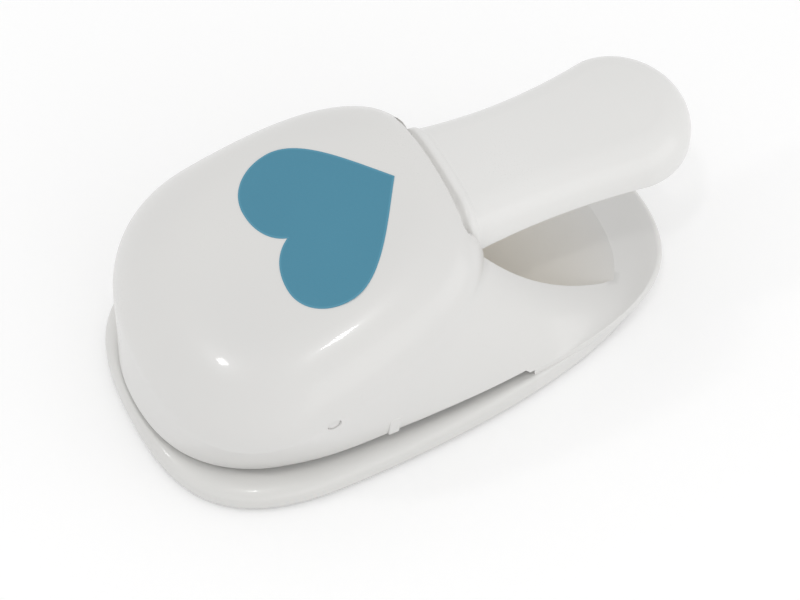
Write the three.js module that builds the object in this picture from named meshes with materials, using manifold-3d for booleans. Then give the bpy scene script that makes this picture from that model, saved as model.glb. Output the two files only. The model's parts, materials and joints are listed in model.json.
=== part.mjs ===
// Heart craft punch: a desk punch with a long palm lever.
// Millimetres, +Z up, +X to the right seen from the front, +Y towards the lever's end.
// Every piece is drawn by stations: Y counts from the jaw's front edge, and the whole
// part is moved at the end so that its origin is the middle of its footprint.

import * as THREE from 'three';
import { mergeVertices } from 'three/addons/utils/BufferGeometryUtils.js';
import Module from 'manifold-3d';

const wasm = await Module();
wasm.setup();

// Driving sizes of the whole punch
const OVERALL_LENGTH = 165;
const LEVER_OVERHANG = 9;
const BODY_LENGTH = OVERALL_LENGTH - LEVER_OVERHANG;
const UNDERSIDE = 1;
const JAW_TOP = 8;
const SLOT_HEIGHT = 2;
const SLOT_CORNER_SHARE = 0.75;
const SLOT_END = 102;
const WALL = 2.4;
const GAP = 0.3;
const OVERRUN = 5;

// Casing outline where it meets the slot
const CASING_FRONT = 1.5;
const CASING_HALF_WIDTH = 40;
const CASING_WIDEST = 58;
const CASING_NOSE = 25.5;
const CASING_CHEEK = 41.5;
const CASING_HIP_SHARE = 0.73;
const CASING_TAIL = 32;

// Outline of the head where its walls end and the rounded shoulder begins
const CROWN_FRONT = 3.3;
const CROWN_HALF_WIDTH = 45;
const CROWN_WIDEST = 35.7;
const CROWN_NOSE = 30.3;
const CROWN_CHEEK = 19.6;
const CROWN_HIP = 49.2;
const CROWN_TAIL = 30;
const CROWN_REAR = 98;

// Jaw outline, squarer than the casing above it
const JAW_HALF_WIDTH = 45;
const JAW_WIDEST = 43;
const JAW_NOSE = 24.7;
const JAW_CHEEK = 37.7;
const JAW_HIP_SHARE = 0.51;
const JAW_TAIL = 32.5;
const JAW_SHOULDER = 4.6;
const JAW_SLOPE_SHARES = [[0.2, 0.42], [0.6, 0.8], [1, 1]];

// Height of the sloping top, and how the walls and the back rise to it
const TOP_FRONT_HEIGHT = 40.7;
const TOP_RISE = 28.6;
const TOP_RISE_RUN = 100;
const TOP_PLANE_END = 85;
const TOP_DROP_RUN = 30;
const SHOULDER_REACH = 20.9;
const SHOULDER_DROP = 18.8;
const FOOT_TUCK = 0.8;
const FOOT_RISE = 1.2;
const RIM_ROUND = 2;
const RIM_MIDDLE_SHARE = 0.33;
const HEAD_POWER_SHARE = 1.15;
const TAIL_POWER_SHARE = 2.4;
const RISE_SHARES = [0.12, 0.22, 0.34, 0.46, 0.58, 0.69, 0.79, 0.87, 0.94, 1];
const PLATEAU_SHARE = 0.82;
const PLATEAU_CENTRE = 50;

// Lever well: the channel behind the head that the lever sinks into
const WELL_HALF_WIDTH = 22;
const WELL_FLOOR = 11.5;
const WELL_FRONT_CORNER = 89.2;
const WELL_FRONT_BOW = 3;

// Steel plates on both sides of the paper slot
const PLATE_THICKNESS = 2.2;
const PLATE_HALF_WIDTH = 36;
const PLATE_RIM = 1;
const PLATE_TUCK_SHARE = 0.43;
const PLATE_FRONT = 13;
const PLATE_REAR = 101;
const SPACER_HALF_WIDTH = 30;
const SPACER_LENGTH = 6;

// Heart that the punch cuts, and the printed heart on top
const DIE_CENTRE = 58.5;
const PUNCH_WIDTH = 50;
const PUNCH_LENGTH = 37;
const DECAL_WIDTH = 52.8;
const DECAL_LENGTH = 39;
const DECAL_THICKNESS = 0.4;
const LOBE_END_SHARE = 0.42;

// Right half of a heart as curves from the cleft to the tip, in shares of half its width
// and of its length
const HEART_HALF_SHARES = [
  [[0, 0.174], [0.08, 0.07], [0.26, 0], [0.52, 0]],
  [[0.52, 0], [0.8, 0], [1, 0.14], [1, 0.33]],
  [[1, 0.33], [1, 0.57], [0.5, 0.77], [0, 1]],
];

// Punch block
const PUNCH_LIFT = 0.3;
const HOLDER_BOTTOM = 22;
const HOLDER_HEIGHT = 6;
const HOLDER_HALF_WIDTH = 35.5;
const HOLDER_FRONT = 35.5;
const HOLDER_REAR = 80;
const HOLDER_CORNER = 8;
const POST_SPREAD = 29.7;
const POST_RADIUS = 2;
const POST_SHANK_RADIUS = 1.5;
const POST_ABOVE_HOLDER = 4;
const SPRING_RADIUS = 3.6;
const SPRING_WIRE = 0.8;
const SPRING_CURLS = 5;
const SPRING_SEAT_DEPTH = 4;

// Lever
const FULCRUM_STATION = 40;
const FULCRUM_ABOVE_HOLDER = 4.5;
const PIN_RADIUS = 1.75;
const PIN_HALF_LENGTH = 38.5;
const PIN_BOSS_RADIUS = 4;
const PIN_BOSS_INNER = 32;
const PIN_CAP_RECESS = 0.5;
const ARM_HALF_WIDTH = 10;
const ARM_SHEET = 2;
const ARM_ROOM = 0.9;
const ARM_BEND = 92;
const ARM_REAR_SETBACK = 14;
const ARM_REAR = OVERALL_LENGTH - ARM_REAR_SETBACK;
const ARM_NOSE_RADIUS = 5.5;
const ARM_CLEAR_OF_HOLDER = 1.5;
const ARM_PASSAGE = 1.2;
const ROLLER_RADIUS = 3;
const ROLLER_PIN_RADIUS = 1.25;
const CHEEK_SHEET = 2;
const CHEEK_SIDE_PLAY = 0.4;
const CHEEK_FOOT_FRONT = 22;
const CHEEK_FOOT_REAR = 34.5;
const CHEEK_ABOVE_HOLDER = 0.6;
const CHEEK_EYE = 5.5;

// Lever's plastic grip
const GRIP_BOTTOM = 46;
const GRIP_TOP = 58.6;
const GRIP_DIP = 1.2;
const GRIP_WALL = 2.2;
const GRIP_CORNER = 10;
const GRIP_COLLAR_HALF_WIDTH = 20.8;
const GRIP_WAIST_HALF_WIDTH = 18.3;
const GRIP_WAIST_SHARE = 0.49;
const GRIP_BULB_HALF_WIDTH = 21.2;
const GRIP_PALM_LENGTH = 20.8;
const GRIP_BULB_SWELL = 0.6;
const GRIP_END_SHARE = 0.55;
const GRIP_CROWN = 0.7;
const COLLAR_GAP = 0.6;
const COLLAR_PROUD = 0.7;
const COLLAR_WIDTH = 3;
const LINER_THICKNESS = 1.4;
const LINER_RECESS = 0.5;
const GRIP_BOSS_RADIUS = 3.4;
const GRIP_SCREW_SETBACK = 19;

// Screws, rivets, feet and marks
const SCREW_RADIUS = 1.5;
const SCREW_HEAD_RADIUS = 3;
const SCREW_HEAD_HEIGHT = 1.1;
const BOSS_RADIUS = 4;
const GUIDE_SCREW_X = 26;
const GUIDE_SCREW_STATIONS = [24, 86];
const GUIDE_SCREW_LENGTH = 10;
const RIVET_X = 16;
const RIVET_RADIUS = 1.9;
const RIVET_HEAD_RADIUS = 3.5;
const RIVET_HEAD_HEIGHT = 1.1;
const PUNCH_SCREW_X = 14;
const PUNCH_SCREW_LENGTH = 9;
const BASE_PLATE_THICKNESS = 1.6;
const BASE_PLATE_INSET = 3;
const CHIP_HALF_WIDTH = 29;
const CHIP_FRONT = 34;
const CHIP_REAR = 84;
const CHIP_CORNER = 8;
const REAR_SCREW_SETBACK = 26.5;
const REAR_FOOT_SETBACK = 12.5;
const FRONT_SCREW = { x: 14, station: 18, length: 4 };
const REAR_SCREW = { x: 16, station: BODY_LENGTH - REAR_SCREW_SETBACK, length: 6.6 };
const FOOT_RADIUS = 5;
const FRONT_FOOT = { x: 25, station: 25 };
const REAR_FOOT = { x: 11, station: BODY_LENGTH - REAR_FOOT_SETBACK };
const MARK_WIDTH = 2.4;
const MARK_HEIGHT = 9;
const MARK_PROUD = 1;

// Places that follow from the sizes above
const HEAD_BOTTOM = JAW_TOP + SLOT_HEIGHT;
const GUIDE_TOP = HEAD_BOTTOM + PLATE_THICKNESS;
const DIE_BOTTOM = JAW_TOP - PLATE_THICKNESS;
const HOLDER_TOP = HOLDER_BOTTOM + HOLDER_HEIGHT;
const FULCRUM_HEIGHT = HOLDER_TOP + FULCRUM_ABOVE_HOLDER;
const ARM_TOP = GRIP_TOP - GRIP_DIP - GRIP_WALL - ARM_ROOM;
const ARM_BOTTOM = GRIP_BOTTOM + LINER_RECESS + LINER_THICKNESS + GAP;
const BASE_PLATE_TOP = UNDERSIDE + BASE_PLATE_THICKNESS;
const HOLLOW_TOP = BASE_PLATE_TOP + GAP;
const SKIRT_WALL = WALL + FOOT_TUCK;
const ROLLER_HEIGHT = HOLDER_TOP + GAP + ROLLER_RADIUS;
const SPACER_FRONT = PLATE_REAR - SPACER_LENGTH;
const RIVET_STATION = PLATE_REAR - SPACER_LENGTH / 2;
const GRIP_BULB_STATION = OVERALL_LENGTH - GRIP_PALM_LENGTH;
const GRIP_WAIST_STATION = WELL_FRONT_CORNER
  + (GRIP_BULB_STATION - WELL_FRONT_CORNER) * GRIP_WAIST_SHARE;
const GRIP_SCREW_STATIONS = [WELL_FRONT_CORNER + GRIP_SCREW_SETBACK, GRIP_BULB_STATION];
const FAR_OUT = OVERALL_LENGTH;

// Facets
const NOSE_STEPS = 14;
const TAIL_STEPS = 18;
const SHOULDER_STEPS = 6;
const ROUND_SEGMENTS = 20;
const HEART_STEPS = 8;
const CURL_STEPS = 8;
const GRIP_STEPS = 10;
const GRIP_CORNER_STEPS = 5;
const WIRE_SIDES = 5;

const whitePlastic = new THREE.MeshStandardMaterial({ color: 0xe9ebee, roughness: 0.3 });
const jawPlastic = new THREE.MeshStandardMaterial({ color: 0xe4e4df, roughness: 0.32 });
const innerPlastic = new THREE.MeshStandardMaterial({ color: 0x5a5f66, roughness: 0.6 });
const steel = new THREE.MeshStandardMaterial({ color: 0xb4b7bb, roughness: 0.35, metalness: 1 });
const hardSteel = new THREE.MeshStandardMaterial({ color: 0x8b8f95, roughness: 0.28, metalness: 1 });
const rubber = new THREE.MeshStandardMaterial({ color: 0x9a9a97, roughness: 0.85 });
const tealPrint = new THREE.MeshStandardMaterial({ color: 0x5593aa, roughness: 0.4 });

// Solids and booleans

function toSolid(geometry) {
  const bare = geometry.clone();
  bare.deleteAttribute('normal');
  bare.deleteAttribute('uv');
  const merged = mergeVertices(bare);
  return new wasm.Manifold(new wasm.Mesh({
    numProp: 3,
    vertProperties: merged.attributes.position.array,
    triVerts: Uint32Array.from(merged.index.array),
  }));
}

function toMesh(name, solid, material) {
  const cut = solid.getMesh();
  const geometry = new THREE.BufferGeometry();
  geometry.setAttribute('position', new THREE.BufferAttribute(cut.vertProperties, 3));
  geometry.setIndex(new THREE.BufferAttribute(cut.triVerts, 1));
  const mesh = new THREE.Mesh(geometry, material);
  mesh.name = name;
  return mesh;
}

function block(low, high) {
  const size = high.map((value, axis) => value - low[axis]);
  const geometry = new THREE.BoxGeometry(...size);
  geometry.translate(...high.map((value, axis) => (value + low[axis]) / 2));
  return toSolid(geometry);
}

function upright(x, station, radius, bottom, top) {
  const geometry = new THREE.CylinderGeometry(radius, radius, top - bottom, ROUND_SEGMENTS);
  geometry.rotateX(Math.PI / 2);
  geometry.translate(x, station, (bottom + top) / 2);
  return toSolid(geometry);
}

function crosswise(station, height, radius, from, to) {
  const geometry = new THREE.CylinderGeometry(radius, radius, to - from, ROUND_SEGMENTS);
  geometry.rotateZ(Math.PI / 2);
  geometry.translate((from + to) / 2, station, height);
  return toSolid(geometry);
}

// A flat outline seen from above, raised from one height to another
function slab(shape, bottom, top) {
  const geometry = new THREE.ExtrudeGeometry(shape, {
    depth: top - bottom,
    bevelEnabled: false,
    curveSegments: HEART_STEPS,
  });
  geometry.translate(0, 0, bottom);
  return toSolid(geometry);
}

// A side profile in (station, height), run across from one x to another
function sideProfile(shape, from, to) {
  const geometry = new THREE.ExtrudeGeometry(shape, {
    depth: to - from,
    bevelEnabled: false,
    curveSegments: HEART_STEPS,
  });
  const across = new THREE.Matrix4().makeBasis(
    new THREE.Vector3(0, 1, 0),
    new THREE.Vector3(0, 0, 1),
    new THREE.Vector3(1, 0, 0),
  );
  geometry.applyMatrix4(across);
  geometry.translate(from, 0, 0);
  return toSolid(geometry);
}

// A turned piece: profile points are [radius, height], starting and ending on the axis
function turned(x, station, profile) {
  const points = profile.map(([radius, height]) => new THREE.Vector2(radius, height));
  const geometry = new THREE.LatheGeometry(points, ROUND_SEGMENTS);
  geometry.rotateX(Math.PI / 2);
  geometry.translate(x, station, 0);
  return toSolid(geometry);
}

// Two x values on one side of the middle, lowest first
function span(side, near, far) {
  return side < 0 ? [-far, -near] : [near, far];
}

function sideName(side) {
  return side < 0 ? 'left' : 'right';
}

function polygon(points) {
  return new THREE.Shape(points.map(([a, b]) => new THREE.Vector2(a, b)));
}

function roundedRectangle(halfWidth, front, rear, corner) {
  const shape = new THREE.Shape();
  shape.moveTo(halfWidth, front + corner);
  shape.lineTo(halfWidth, rear - corner);
  shape.absarc(halfWidth - corner, rear - corner, corner, 0, Math.PI / 2);
  shape.absarc(corner - halfWidth, rear - corner, corner, Math.PI / 2, Math.PI);
  shape.absarc(corner - halfWidth, front + corner, corner, Math.PI, 1.5 * Math.PI);
  shape.absarc(halfWidth - corner, front + corner, corner, 1.5 * Math.PI, 2 * Math.PI);
  return shape;
}

// Rings and outlines

// Two curves make the right half of an egg-shaped outline; the left half mirrors it
function eggOutline(egg) {
  const nose = new THREE.CubicBezierCurve(
    new THREE.Vector2(0, egg.front),
    new THREE.Vector2(egg.nose, egg.front),
    new THREE.Vector2(egg.halfWidth, egg.widest - egg.cheek),
    new THREE.Vector2(egg.halfWidth, egg.widest),
  );
  const tail = new THREE.CubicBezierCurve(
    new THREE.Vector2(egg.halfWidth, egg.widest),
    new THREE.Vector2(egg.halfWidth, egg.widest + egg.hip),
    new THREE.Vector2(egg.tail, egg.rear),
    new THREE.Vector2(0, egg.rear),
  );
  return mirrored([...nose.getPoints(NOSE_STEPS), ...tail.getPoints(TAIL_STEPS).slice(1)]);
}

function mirrored(right) {
  const left = right.slice(1, -1).reverse().map((point) => new THREE.Vector2(-point.x, point.y));
  return [...right, ...left];
}

function inset(outline, distance) {
  return outline.map((point, index) => {
    const before = outline.at(index - 1);
    const after = outline[(index + 1) % outline.length];
    const along = after.clone().sub(before).normalize();
    return new THREE.Vector2(point.x - along.y * distance, point.y + along.x * distance);
  });
}

function between(from, to, share) {
  return from.map((point, index) => point.clone().lerp(to[index], share));
}

// The rounded shoulder draws an outline in towards the flat part of the head's top
function drawnIn(outline, share) {
  const acrossShare = 1 - share * (SHOULDER_REACH / CROWN_HALF_WIDTH);
  const alongShare = 1 - share * (SHOULDER_REACH / (CROWN_REAR - PLATEAU_CENTRE));
  return outline.map((point) => new THREE.Vector2(
    point.x * acrossShare, PLATEAU_CENTRE + (point.y - PLATEAU_CENTRE) * alongShare,
  ));
}

function ring(outline, height) {
  const heightAt = typeof height === 'function' ? height : () => height;
  return outline.map((point, index) => new THREE.Vector3(point.x, point.y, heightAt(point, index)));
}

// Skin a stack of rings, bottom to top, and close both ends
function skin(rings) {
  const count = rings[0].length;
  const corners = rings.flat();
  const index = [];
  for (let level = 0; level < rings.length - 1; level += 1) {
    for (let step = 0; step < count; step += 1) {
      const next = (step + 1) % count;
      const low = level * count;
      const high = low + count;
      index.push(low + step, low + next, high + next);
      index.push(low + step, high + next, high + step);
    }
  }
  const middleOf = (points) => points
    .reduce((sum, point) => sum.add(point), new THREE.Vector3())
    .divideScalar(points.length);
  corners.push(middleOf(rings[0]), middleOf(rings.at(-1)));
  const last = (rings.length - 1) * count;
  for (let step = 0; step < count; step += 1) {
    const next = (step + 1) % count;
    index.push(corners.length - 2, next, step);
    index.push(corners.length - 1, last + step, last + next);
  }
  const geometry = new THREE.BufferGeometry().setFromPoints(corners);
  geometry.setIndex(index);
  return toSolid(geometry);
}

const casingOutline = eggOutline({
  front: CASING_FRONT,
  halfWidth: CASING_HALF_WIDTH,
  widest: CASING_WIDEST,
  nose: CASING_NOSE,
  cheek: CASING_CHEEK,
  hip: (BODY_LENGTH - CASING_WIDEST) * CASING_HIP_SHARE,
  tail: CASING_TAIL,
  rear: BODY_LENGTH,
});
const crownOutline = eggOutline({
  front: CROWN_FRONT,
  halfWidth: CROWN_HALF_WIDTH,
  widest: CROWN_WIDEST,
  nose: CROWN_NOSE,
  cheek: CROWN_CHEEK,
  hip: CROWN_HIP,
  tail: CROWN_TAIL,
  rear: CROWN_REAR,
});
const jawOutline = eggOutline({
  front: 0,
  halfWidth: JAW_HALF_WIDTH,
  widest: JAW_WIDEST,
  nose: JAW_NOSE,
  cheek: JAW_CHEEK,
  hip: (BODY_LENGTH - JAW_WIDEST) * JAW_HIP_SHARE,
  tail: JAW_TAIL,
  rear: BODY_LENGTH,
});

// Height of the head's top at a station: a sloping plane that bends down at the rear
function topHeight(station) {
  const plane = TOP_FRONT_HEIGHT + TOP_RISE * (station / TOP_RISE_RUN);
  const past = Math.max(0, station - TOP_PLANE_END);
  return plane - past * (past / TOP_DROP_RUN);
}

// Heart with its tip to the rear, its lobes to the front and its middle on the die's centre
function heartShape(width, length, centre, grow = 0) {
  const half = width / 2 + grow;
  const run = length + 2 * grow;
  const lobe = centre - LOBE_END_SHARE * length - grow;
  const at = ([acrossShare, alongShare], side) => [side * acrossShare * half, lobe + alongShare * run];
  const shape = new THREE.Shape();
  shape.moveTo(...at(HEART_HALF_SHARES[0][0], 1));
  for (const [, leaving, arriving, end] of HEART_HALF_SHARES) {
    shape.bezierCurveTo(...at(leaving, 1), ...at(arriving, 1), ...at(end, 1));
  }
  for (const [start, leaving, arriving] of [...HEART_HALF_SHARES].reverse()) {
    shape.bezierCurveTo(...at(arriving, -1), ...at(leaving, -1), ...at(start, -1));
  }
  return shape;
}

// Rings from the table up to the slot, shared by the jaw and the casing behind it
function skirtRings() {
  const slope = JAW_TOP - JAW_SHOULDER;
  return [
    ring(inset(jawOutline, FOOT_TUCK), UNDERSIDE),
    ring(jawOutline, UNDERSIDE + FOOT_RISE),
    ring(jawOutline, JAW_SHOULDER),
    ...JAW_SLOPE_SHARES.map(([inwardShare, upwardShare]) => ring(
      between(jawOutline, casingOutline, inwardShare), JAW_SHOULDER + slope * upwardShare,
    )),
  ];
}

// Casing

// The head's own walls stand almost straight, while the tail sweeps up to the head
function risePower(index) {
  const past = (casingOutline[index].y - CASING_WIDEST) / (BODY_LENGTH - CASING_WIDEST);
  const back = THREE.MathUtils.clamp(past, 0, 1);
  return HEAD_POWER_SHARE + (TAIL_POWER_SHARE - HEAD_POWER_SHARE) * back * (2 - back);
}

function casingLoft() {
  const rise = (share) => ring(between(casingOutline, crownOutline, share), (point, index) => {
    const wallTop = topHeight(crownOutline[index].y) - SHOULDER_DROP;
    return HEAD_BOTTOM + (wallTop - HEAD_BOTTOM) * share ** risePower(index);
  });
  const rimShare = RIM_ROUND / (BODY_LENGTH - CROWN_REAR);
  const rings = [
    ...skirtRings(),
    ring(
      between(casingOutline, crownOutline, rimShare * RIM_MIDDLE_SHARE),
      HEAD_BOTTOM - RIM_ROUND * RIM_MIDDLE_SHARE,
    ),
    rise(rimShare),
    ...RISE_SHARES.map(rise),
  ];
  for (let step = 1; step <= SHOULDER_STEPS; step += 1) {
    const angle = (step / SHOULDER_STEPS) * (Math.PI / 2);
    rings.push(ring(drawnIn(crownOutline, 1 - Math.cos(angle)), (point) => {
      return topHeight(point.y) - SHOULDER_DROP * (1 - Math.sin(angle));
    }));
  }
  const plateauCentre = new THREE.Vector2(0, PLATEAU_CENTRE);
  const plateau = rings.at(-1).map((point) => {
    return new THREE.Vector2(point.x, point.y).sub(plateauCentre)
      .multiplyScalar(PLATEAU_SHARE).add(plateauCentre);
  });
  rings.push(ring(plateau, (point) => topHeight(point.y)));
  return skin(rings);
}

function casingHollow() {
  const foot = inset(casingOutline, WALL);
  const crown = inset(crownOutline, WALL);
  const level = HEAD_BOTTOM - WALL;
  const rise = (share) => ring(between(foot, crown, share), (point, index) => {
    const wallTop = topHeight(crownOutline[index].y) - SHOULDER_DROP;
    return level + (wallTop - level) * share ** risePower(index);
  });
  const rings = [ring(foot, -OVERRUN), rise(0)];
  rings.push(...RISE_SHARES.filter((share, index) => index % 2 === 1).map(rise));
  for (let step = 2; step <= SHOULDER_STEPS; step += 2) {
    const angle = (step / SHOULDER_STEPS) * (Math.PI / 2);
    rings.push(ring(drawnIn(crown, 1 - Math.cos(angle)), (point) => {
      return topHeight(point.y) - WALL - (SHOULDER_DROP - WALL) * (1 - Math.sin(angle));
    }));
  }
  return skin(rings);
}

// Plan of the lever well; its front edge bows towards the rear in the middle
function wellShape(halfWidth, setback) {
  const corner = WELL_FRONT_CORNER + setback;
  const shape = new THREE.Shape();
  shape.moveTo(halfWidth, FAR_OUT + OVERRUN);
  shape.lineTo(-halfWidth, FAR_OUT + OVERRUN);
  shape.lineTo(-halfWidth, corner);
  shape.quadraticCurveTo(0, corner + WELL_FRONT_BOW, halfWidth, corner);
  return shape;
}

function slotCutter() {
  const shape = new THREE.Shape();
  const corner = SLOT_HEIGHT * SLOT_CORNER_SHARE;
  shape.moveTo(-OVERRUN, -OVERRUN);
  shape.lineTo(SLOT_END, -OVERRUN);
  shape.lineTo(SLOT_END, HEAD_BOTTOM - corner);
  shape.absarc(SLOT_END - corner, HEAD_BOTTOM - corner, corner, 0, Math.PI / 2);
  shape.lineTo(-OVERRUN, HEAD_BOTTOM);
  return sideProfile(shape, -FAR_OUT, FAR_OUT);
}

// Small raised line on both sides that shows where the heart's centre is
function centreMark(side, bottom, top, reach) {
  const [left, right] = span(side, CASING_HALF_WIDTH - WALL / 2, reach);
  return block(
    [left, DIE_CENTRE - MARK_WIDTH / 2, bottom],
    [right, DIE_CENTRE + MARK_WIDTH / 2, top],
  );
}

// What keeps the tail's skirt thick where the foot's outline runs inside the casing's
function skirtFill() {
  const all = block([-FAR_OUT, SLOT_END, -FAR_OUT], [FAR_OUT, FAR_OUT, JAW_TOP]);
  return all.subtract(slab(new THREE.Shape(inset(jawOutline, SKIRT_WALL)), -FAR_OUT, FAR_OUT));
}

function headCover() {
  const outer = casingLoft();
  const linerHalf = WELL_HALF_WIDTH + WALL;
  let hollow = casingHollow().subtract(skirtFill());
  hollow = hollow.subtract(block(
    [-linerHalf, SLOT_END, WELL_FLOOR - WALL],
    [linerHalf, FAR_OUT, FAR_OUT],
  ));
  hollow = hollow.subtract(block(
    [-linerHalf, WELL_FRONT_CORNER - WALL, GUIDE_TOP + RIVET_HEAD_HEIGHT + GAP],
    [linerHalf, SLOT_END, FAR_OUT],
  ));
  hollow = hollow.subtract(block(
    [-FAR_OUT, SLOT_END, HOLLOW_TOP],
    [FAR_OUT, SLOT_END + WALL, HEAD_BOTTOM],
  ));
  for (const side of [-1, 1]) {
    const [left, right] = span(side, WELL_HALF_WIDTH, linerHalf);
    hollow = hollow.subtract(block([left, WELL_FRONT_CORNER, GUIDE_TOP], [right, FAR_OUT, FAR_OUT]));
    for (const station of GUIDE_SCREW_STATIONS) {
      const x = side * GUIDE_SCREW_X;
      hollow = hollow.subtract(upright(x, station, BOSS_RADIUS, GUIDE_TOP, FAR_OUT));
    }
    hollow = hollow.subtract(upright(
      side * REAR_SCREW.x, REAR_SCREW.station, BOSS_RADIUS, HOLLOW_TOP, FAR_OUT,
    ));
    const boss = span(side, PIN_BOSS_INNER, CROWN_HALF_WIDTH);
    hollow = hollow.subtract(crosswise(FULCRUM_STATION, FULCRUM_HEIGHT, PIN_BOSS_RADIUS, ...boss));
  }
  let cover = outer.subtract(hollow);
  cover = cover.subtract(slotCutter());
  cover = cover.subtract(slab(wellShape(WELL_HALF_WIDTH, 0), WELL_FLOOR, FAR_OUT));
  cover = cover.subtract(block(
    [-ARM_HALF_WIDTH - ARM_PASSAGE, WELL_FRONT_CORNER - WALL, GUIDE_TOP],
    [ARM_HALF_WIDTH + ARM_PASSAGE, SLOT_END, ARM_TOP + ARM_PASSAGE],
  ));
  cover = cover.subtract(crosswise(
    FULCRUM_STATION, FULCRUM_HEIGHT, PIN_RADIUS + GAP, -FAR_OUT, FAR_OUT,
  ));
  const screwHole = SCREW_RADIUS + GAP;
  for (const side of [-1, 1]) {
    for (const station of GUIDE_SCREW_STATIONS) {
      const depth = HEAD_BOTTOM + GUIDE_SCREW_LENGTH + GAP;
      cover = cover.subtract(upright(side * GUIDE_SCREW_X, station, screwHole, 0, depth));
    }
    const depth = UNDERSIDE + REAR_SCREW.length + GAP;
    cover = cover.subtract(upright(side * REAR_SCREW.x, REAR_SCREW.station, screwHole, 0, depth));
    cover = cover.add(outer.translate([side * MARK_PROUD, 0, 0])
      .intersect(centreMark(side, HEAD_BOTTOM, HEAD_BOTTOM + MARK_HEIGHT, FAR_OUT)));
  }
  return toMesh('head_cover', cover, whitePlastic);
}

// Jaw under the slot

function jawShell() {
  let jaw = skin(skirtRings());
  jaw = jaw.intersect(block(
    [-FAR_OUT, -OVERRUN, -OVERRUN],
    [FAR_OUT, SLOT_END - GAP, FAR_OUT],
  ));
  jaw = jaw.subtract(skin([
    ring(inset(casingOutline, WALL), -OVERRUN),
    ring(inset(casingOutline, WALL), HOLLOW_TOP),
  ]));
  jaw = jaw.subtract(plateOutline(GAP, DIE_BOTTOM, FAR_OUT));
  jaw = jaw.subtract(block(
    [-PLATE_HALF_WIDTH - GAP, PLATE_REAR, DIE_BOTTOM],
    [PLATE_HALF_WIDTH + GAP, FAR_OUT, FAR_OUT],
  ));
  jaw = jaw.subtract(slab(
    roundedRectangle(CHIP_HALF_WIDTH, CHIP_FRONT, CHIP_REAR, CHIP_CORNER), -OVERRUN, FAR_OUT,
  ));
  for (const side of [-1, 1]) {
    const rivetRoom = RIVET_HEAD_RADIUS + GAP;
    jaw = jaw.subtract(upright(side * RIVET_X, RIVET_STATION, rivetRoom, 0, FAR_OUT));
    const depth = UNDERSIDE + FRONT_SCREW.length + GAP;
    jaw = jaw.subtract(upright(
      side * FRONT_SCREW.x, FRONT_SCREW.station, SCREW_RADIUS + GAP, 0, depth,
    ));
    const proud = CASING_HALF_WIDTH + MARK_PROUD;
    jaw = jaw.add(centreMark(side, JAW_TOP - SLOT_HEIGHT, JAW_TOP, proud));
  }
  return toMesh('jaw_shell', jaw, jawPlastic);
}

function basePlate() {
  const rim = new THREE.Shape(inset(casingOutline, BASE_PLATE_INSET));
  let plate = slab(rim, UNDERSIDE, BASE_PLATE_TOP);
  const withinSkirt = new THREE.Shape(inset(jawOutline, SKIRT_WALL + GAP));
  plate = plate.intersect(slab(withinSkirt, UNDERSIDE, BASE_PLATE_TOP));
  plate = plate.subtract(slab(
    roundedRectangle(CHIP_HALF_WIDTH, CHIP_FRONT, CHIP_REAR, CHIP_CORNER), 0, FAR_OUT,
  ));
  for (const side of [-1, 1]) {
    for (const screw of [FRONT_SCREW, REAR_SCREW]) {
      const x = side * screw.x;
      plate = plate.subtract(upright(x, screw.station, SCREW_RADIUS + GAP, 0, FAR_OUT));
      plate = plate.subtract(upright(
        x, screw.station, SCREW_HEAD_RADIUS + GAP, 0, UNDERSIDE + SCREW_HEAD_HEIGHT,
      ));
    }
  }
  return toMesh('base_plate', plate, innerPlastic);
}

// Steel sandwich

// Both plates follow the casing's walls at their corners
function plateOutline(grow, bottom, top) {
  const margin = WALL + PLATE_RIM - grow;
  const tucked = between(casingOutline, crownOutline, PLATE_TUCK_SHARE);
  const atFoot = slab(new THREE.Shape(inset(casingOutline, margin)), bottom, top);
  const atTop = slab(new THREE.Shape(inset(tucked, margin)), bottom, top);
  return atFoot.intersect(atTop).intersect(block(
    [-PLATE_HALF_WIDTH - grow, PLATE_FRONT - grow, bottom],
    [PLATE_HALF_WIDTH + grow, PLATE_REAR + grow, top],
  ));
}

function plateBlank(bottom) {
  let plate = plateOutline(0, bottom, bottom + PLATE_THICKNESS);
  const opening = heartShape(PUNCH_WIDTH, PUNCH_LENGTH, DIE_CENTRE, GAP);
  plate = plate.subtract(slab(opening, 0, FAR_OUT));
  for (const side of [-1, 1]) {
    plate = plate.subtract(upright(side * RIVET_X, RIVET_STATION, RIVET_RADIUS + GAP, 0, FAR_OUT));
  }
  return plate;
}

function guidePlate() {
  let plate = plateBlank(HEAD_BOTTOM);
  for (const side of [-1, 1]) {
    plate = plate.subtract(upright(
      side * POST_SPREAD, DIE_CENTRE, POST_SHANK_RADIUS + GAP, 0, FAR_OUT,
    ));
    for (const station of GUIDE_SCREW_STATIONS) {
      const x = side * GUIDE_SCREW_X;
      plate = plate.subtract(upright(x, station, SCREW_RADIUS + GAP, 0, FAR_OUT));
      plate = plate.subtract(upright(
        x, station, SCREW_HEAD_RADIUS + GAP, 0, HEAD_BOTTOM + SCREW_HEAD_HEIGHT,
      ));
    }
  }
  return toMesh('guide_plate', plate, steel);
}

function slotSpacer() {
  let bar = block(
    [-SPACER_HALF_WIDTH, SPACER_FRONT, JAW_TOP],
    [SPACER_HALF_WIDTH, PLATE_REAR, HEAD_BOTTOM],
  );
  for (const side of [-1, 1]) {
    bar = bar.subtract(upright(side * RIVET_X, RIVET_STATION, RIVET_RADIUS + GAP, 0, FAR_OUT));
  }
  return toMesh('slot_spacer', bar, steel);
}

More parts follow.
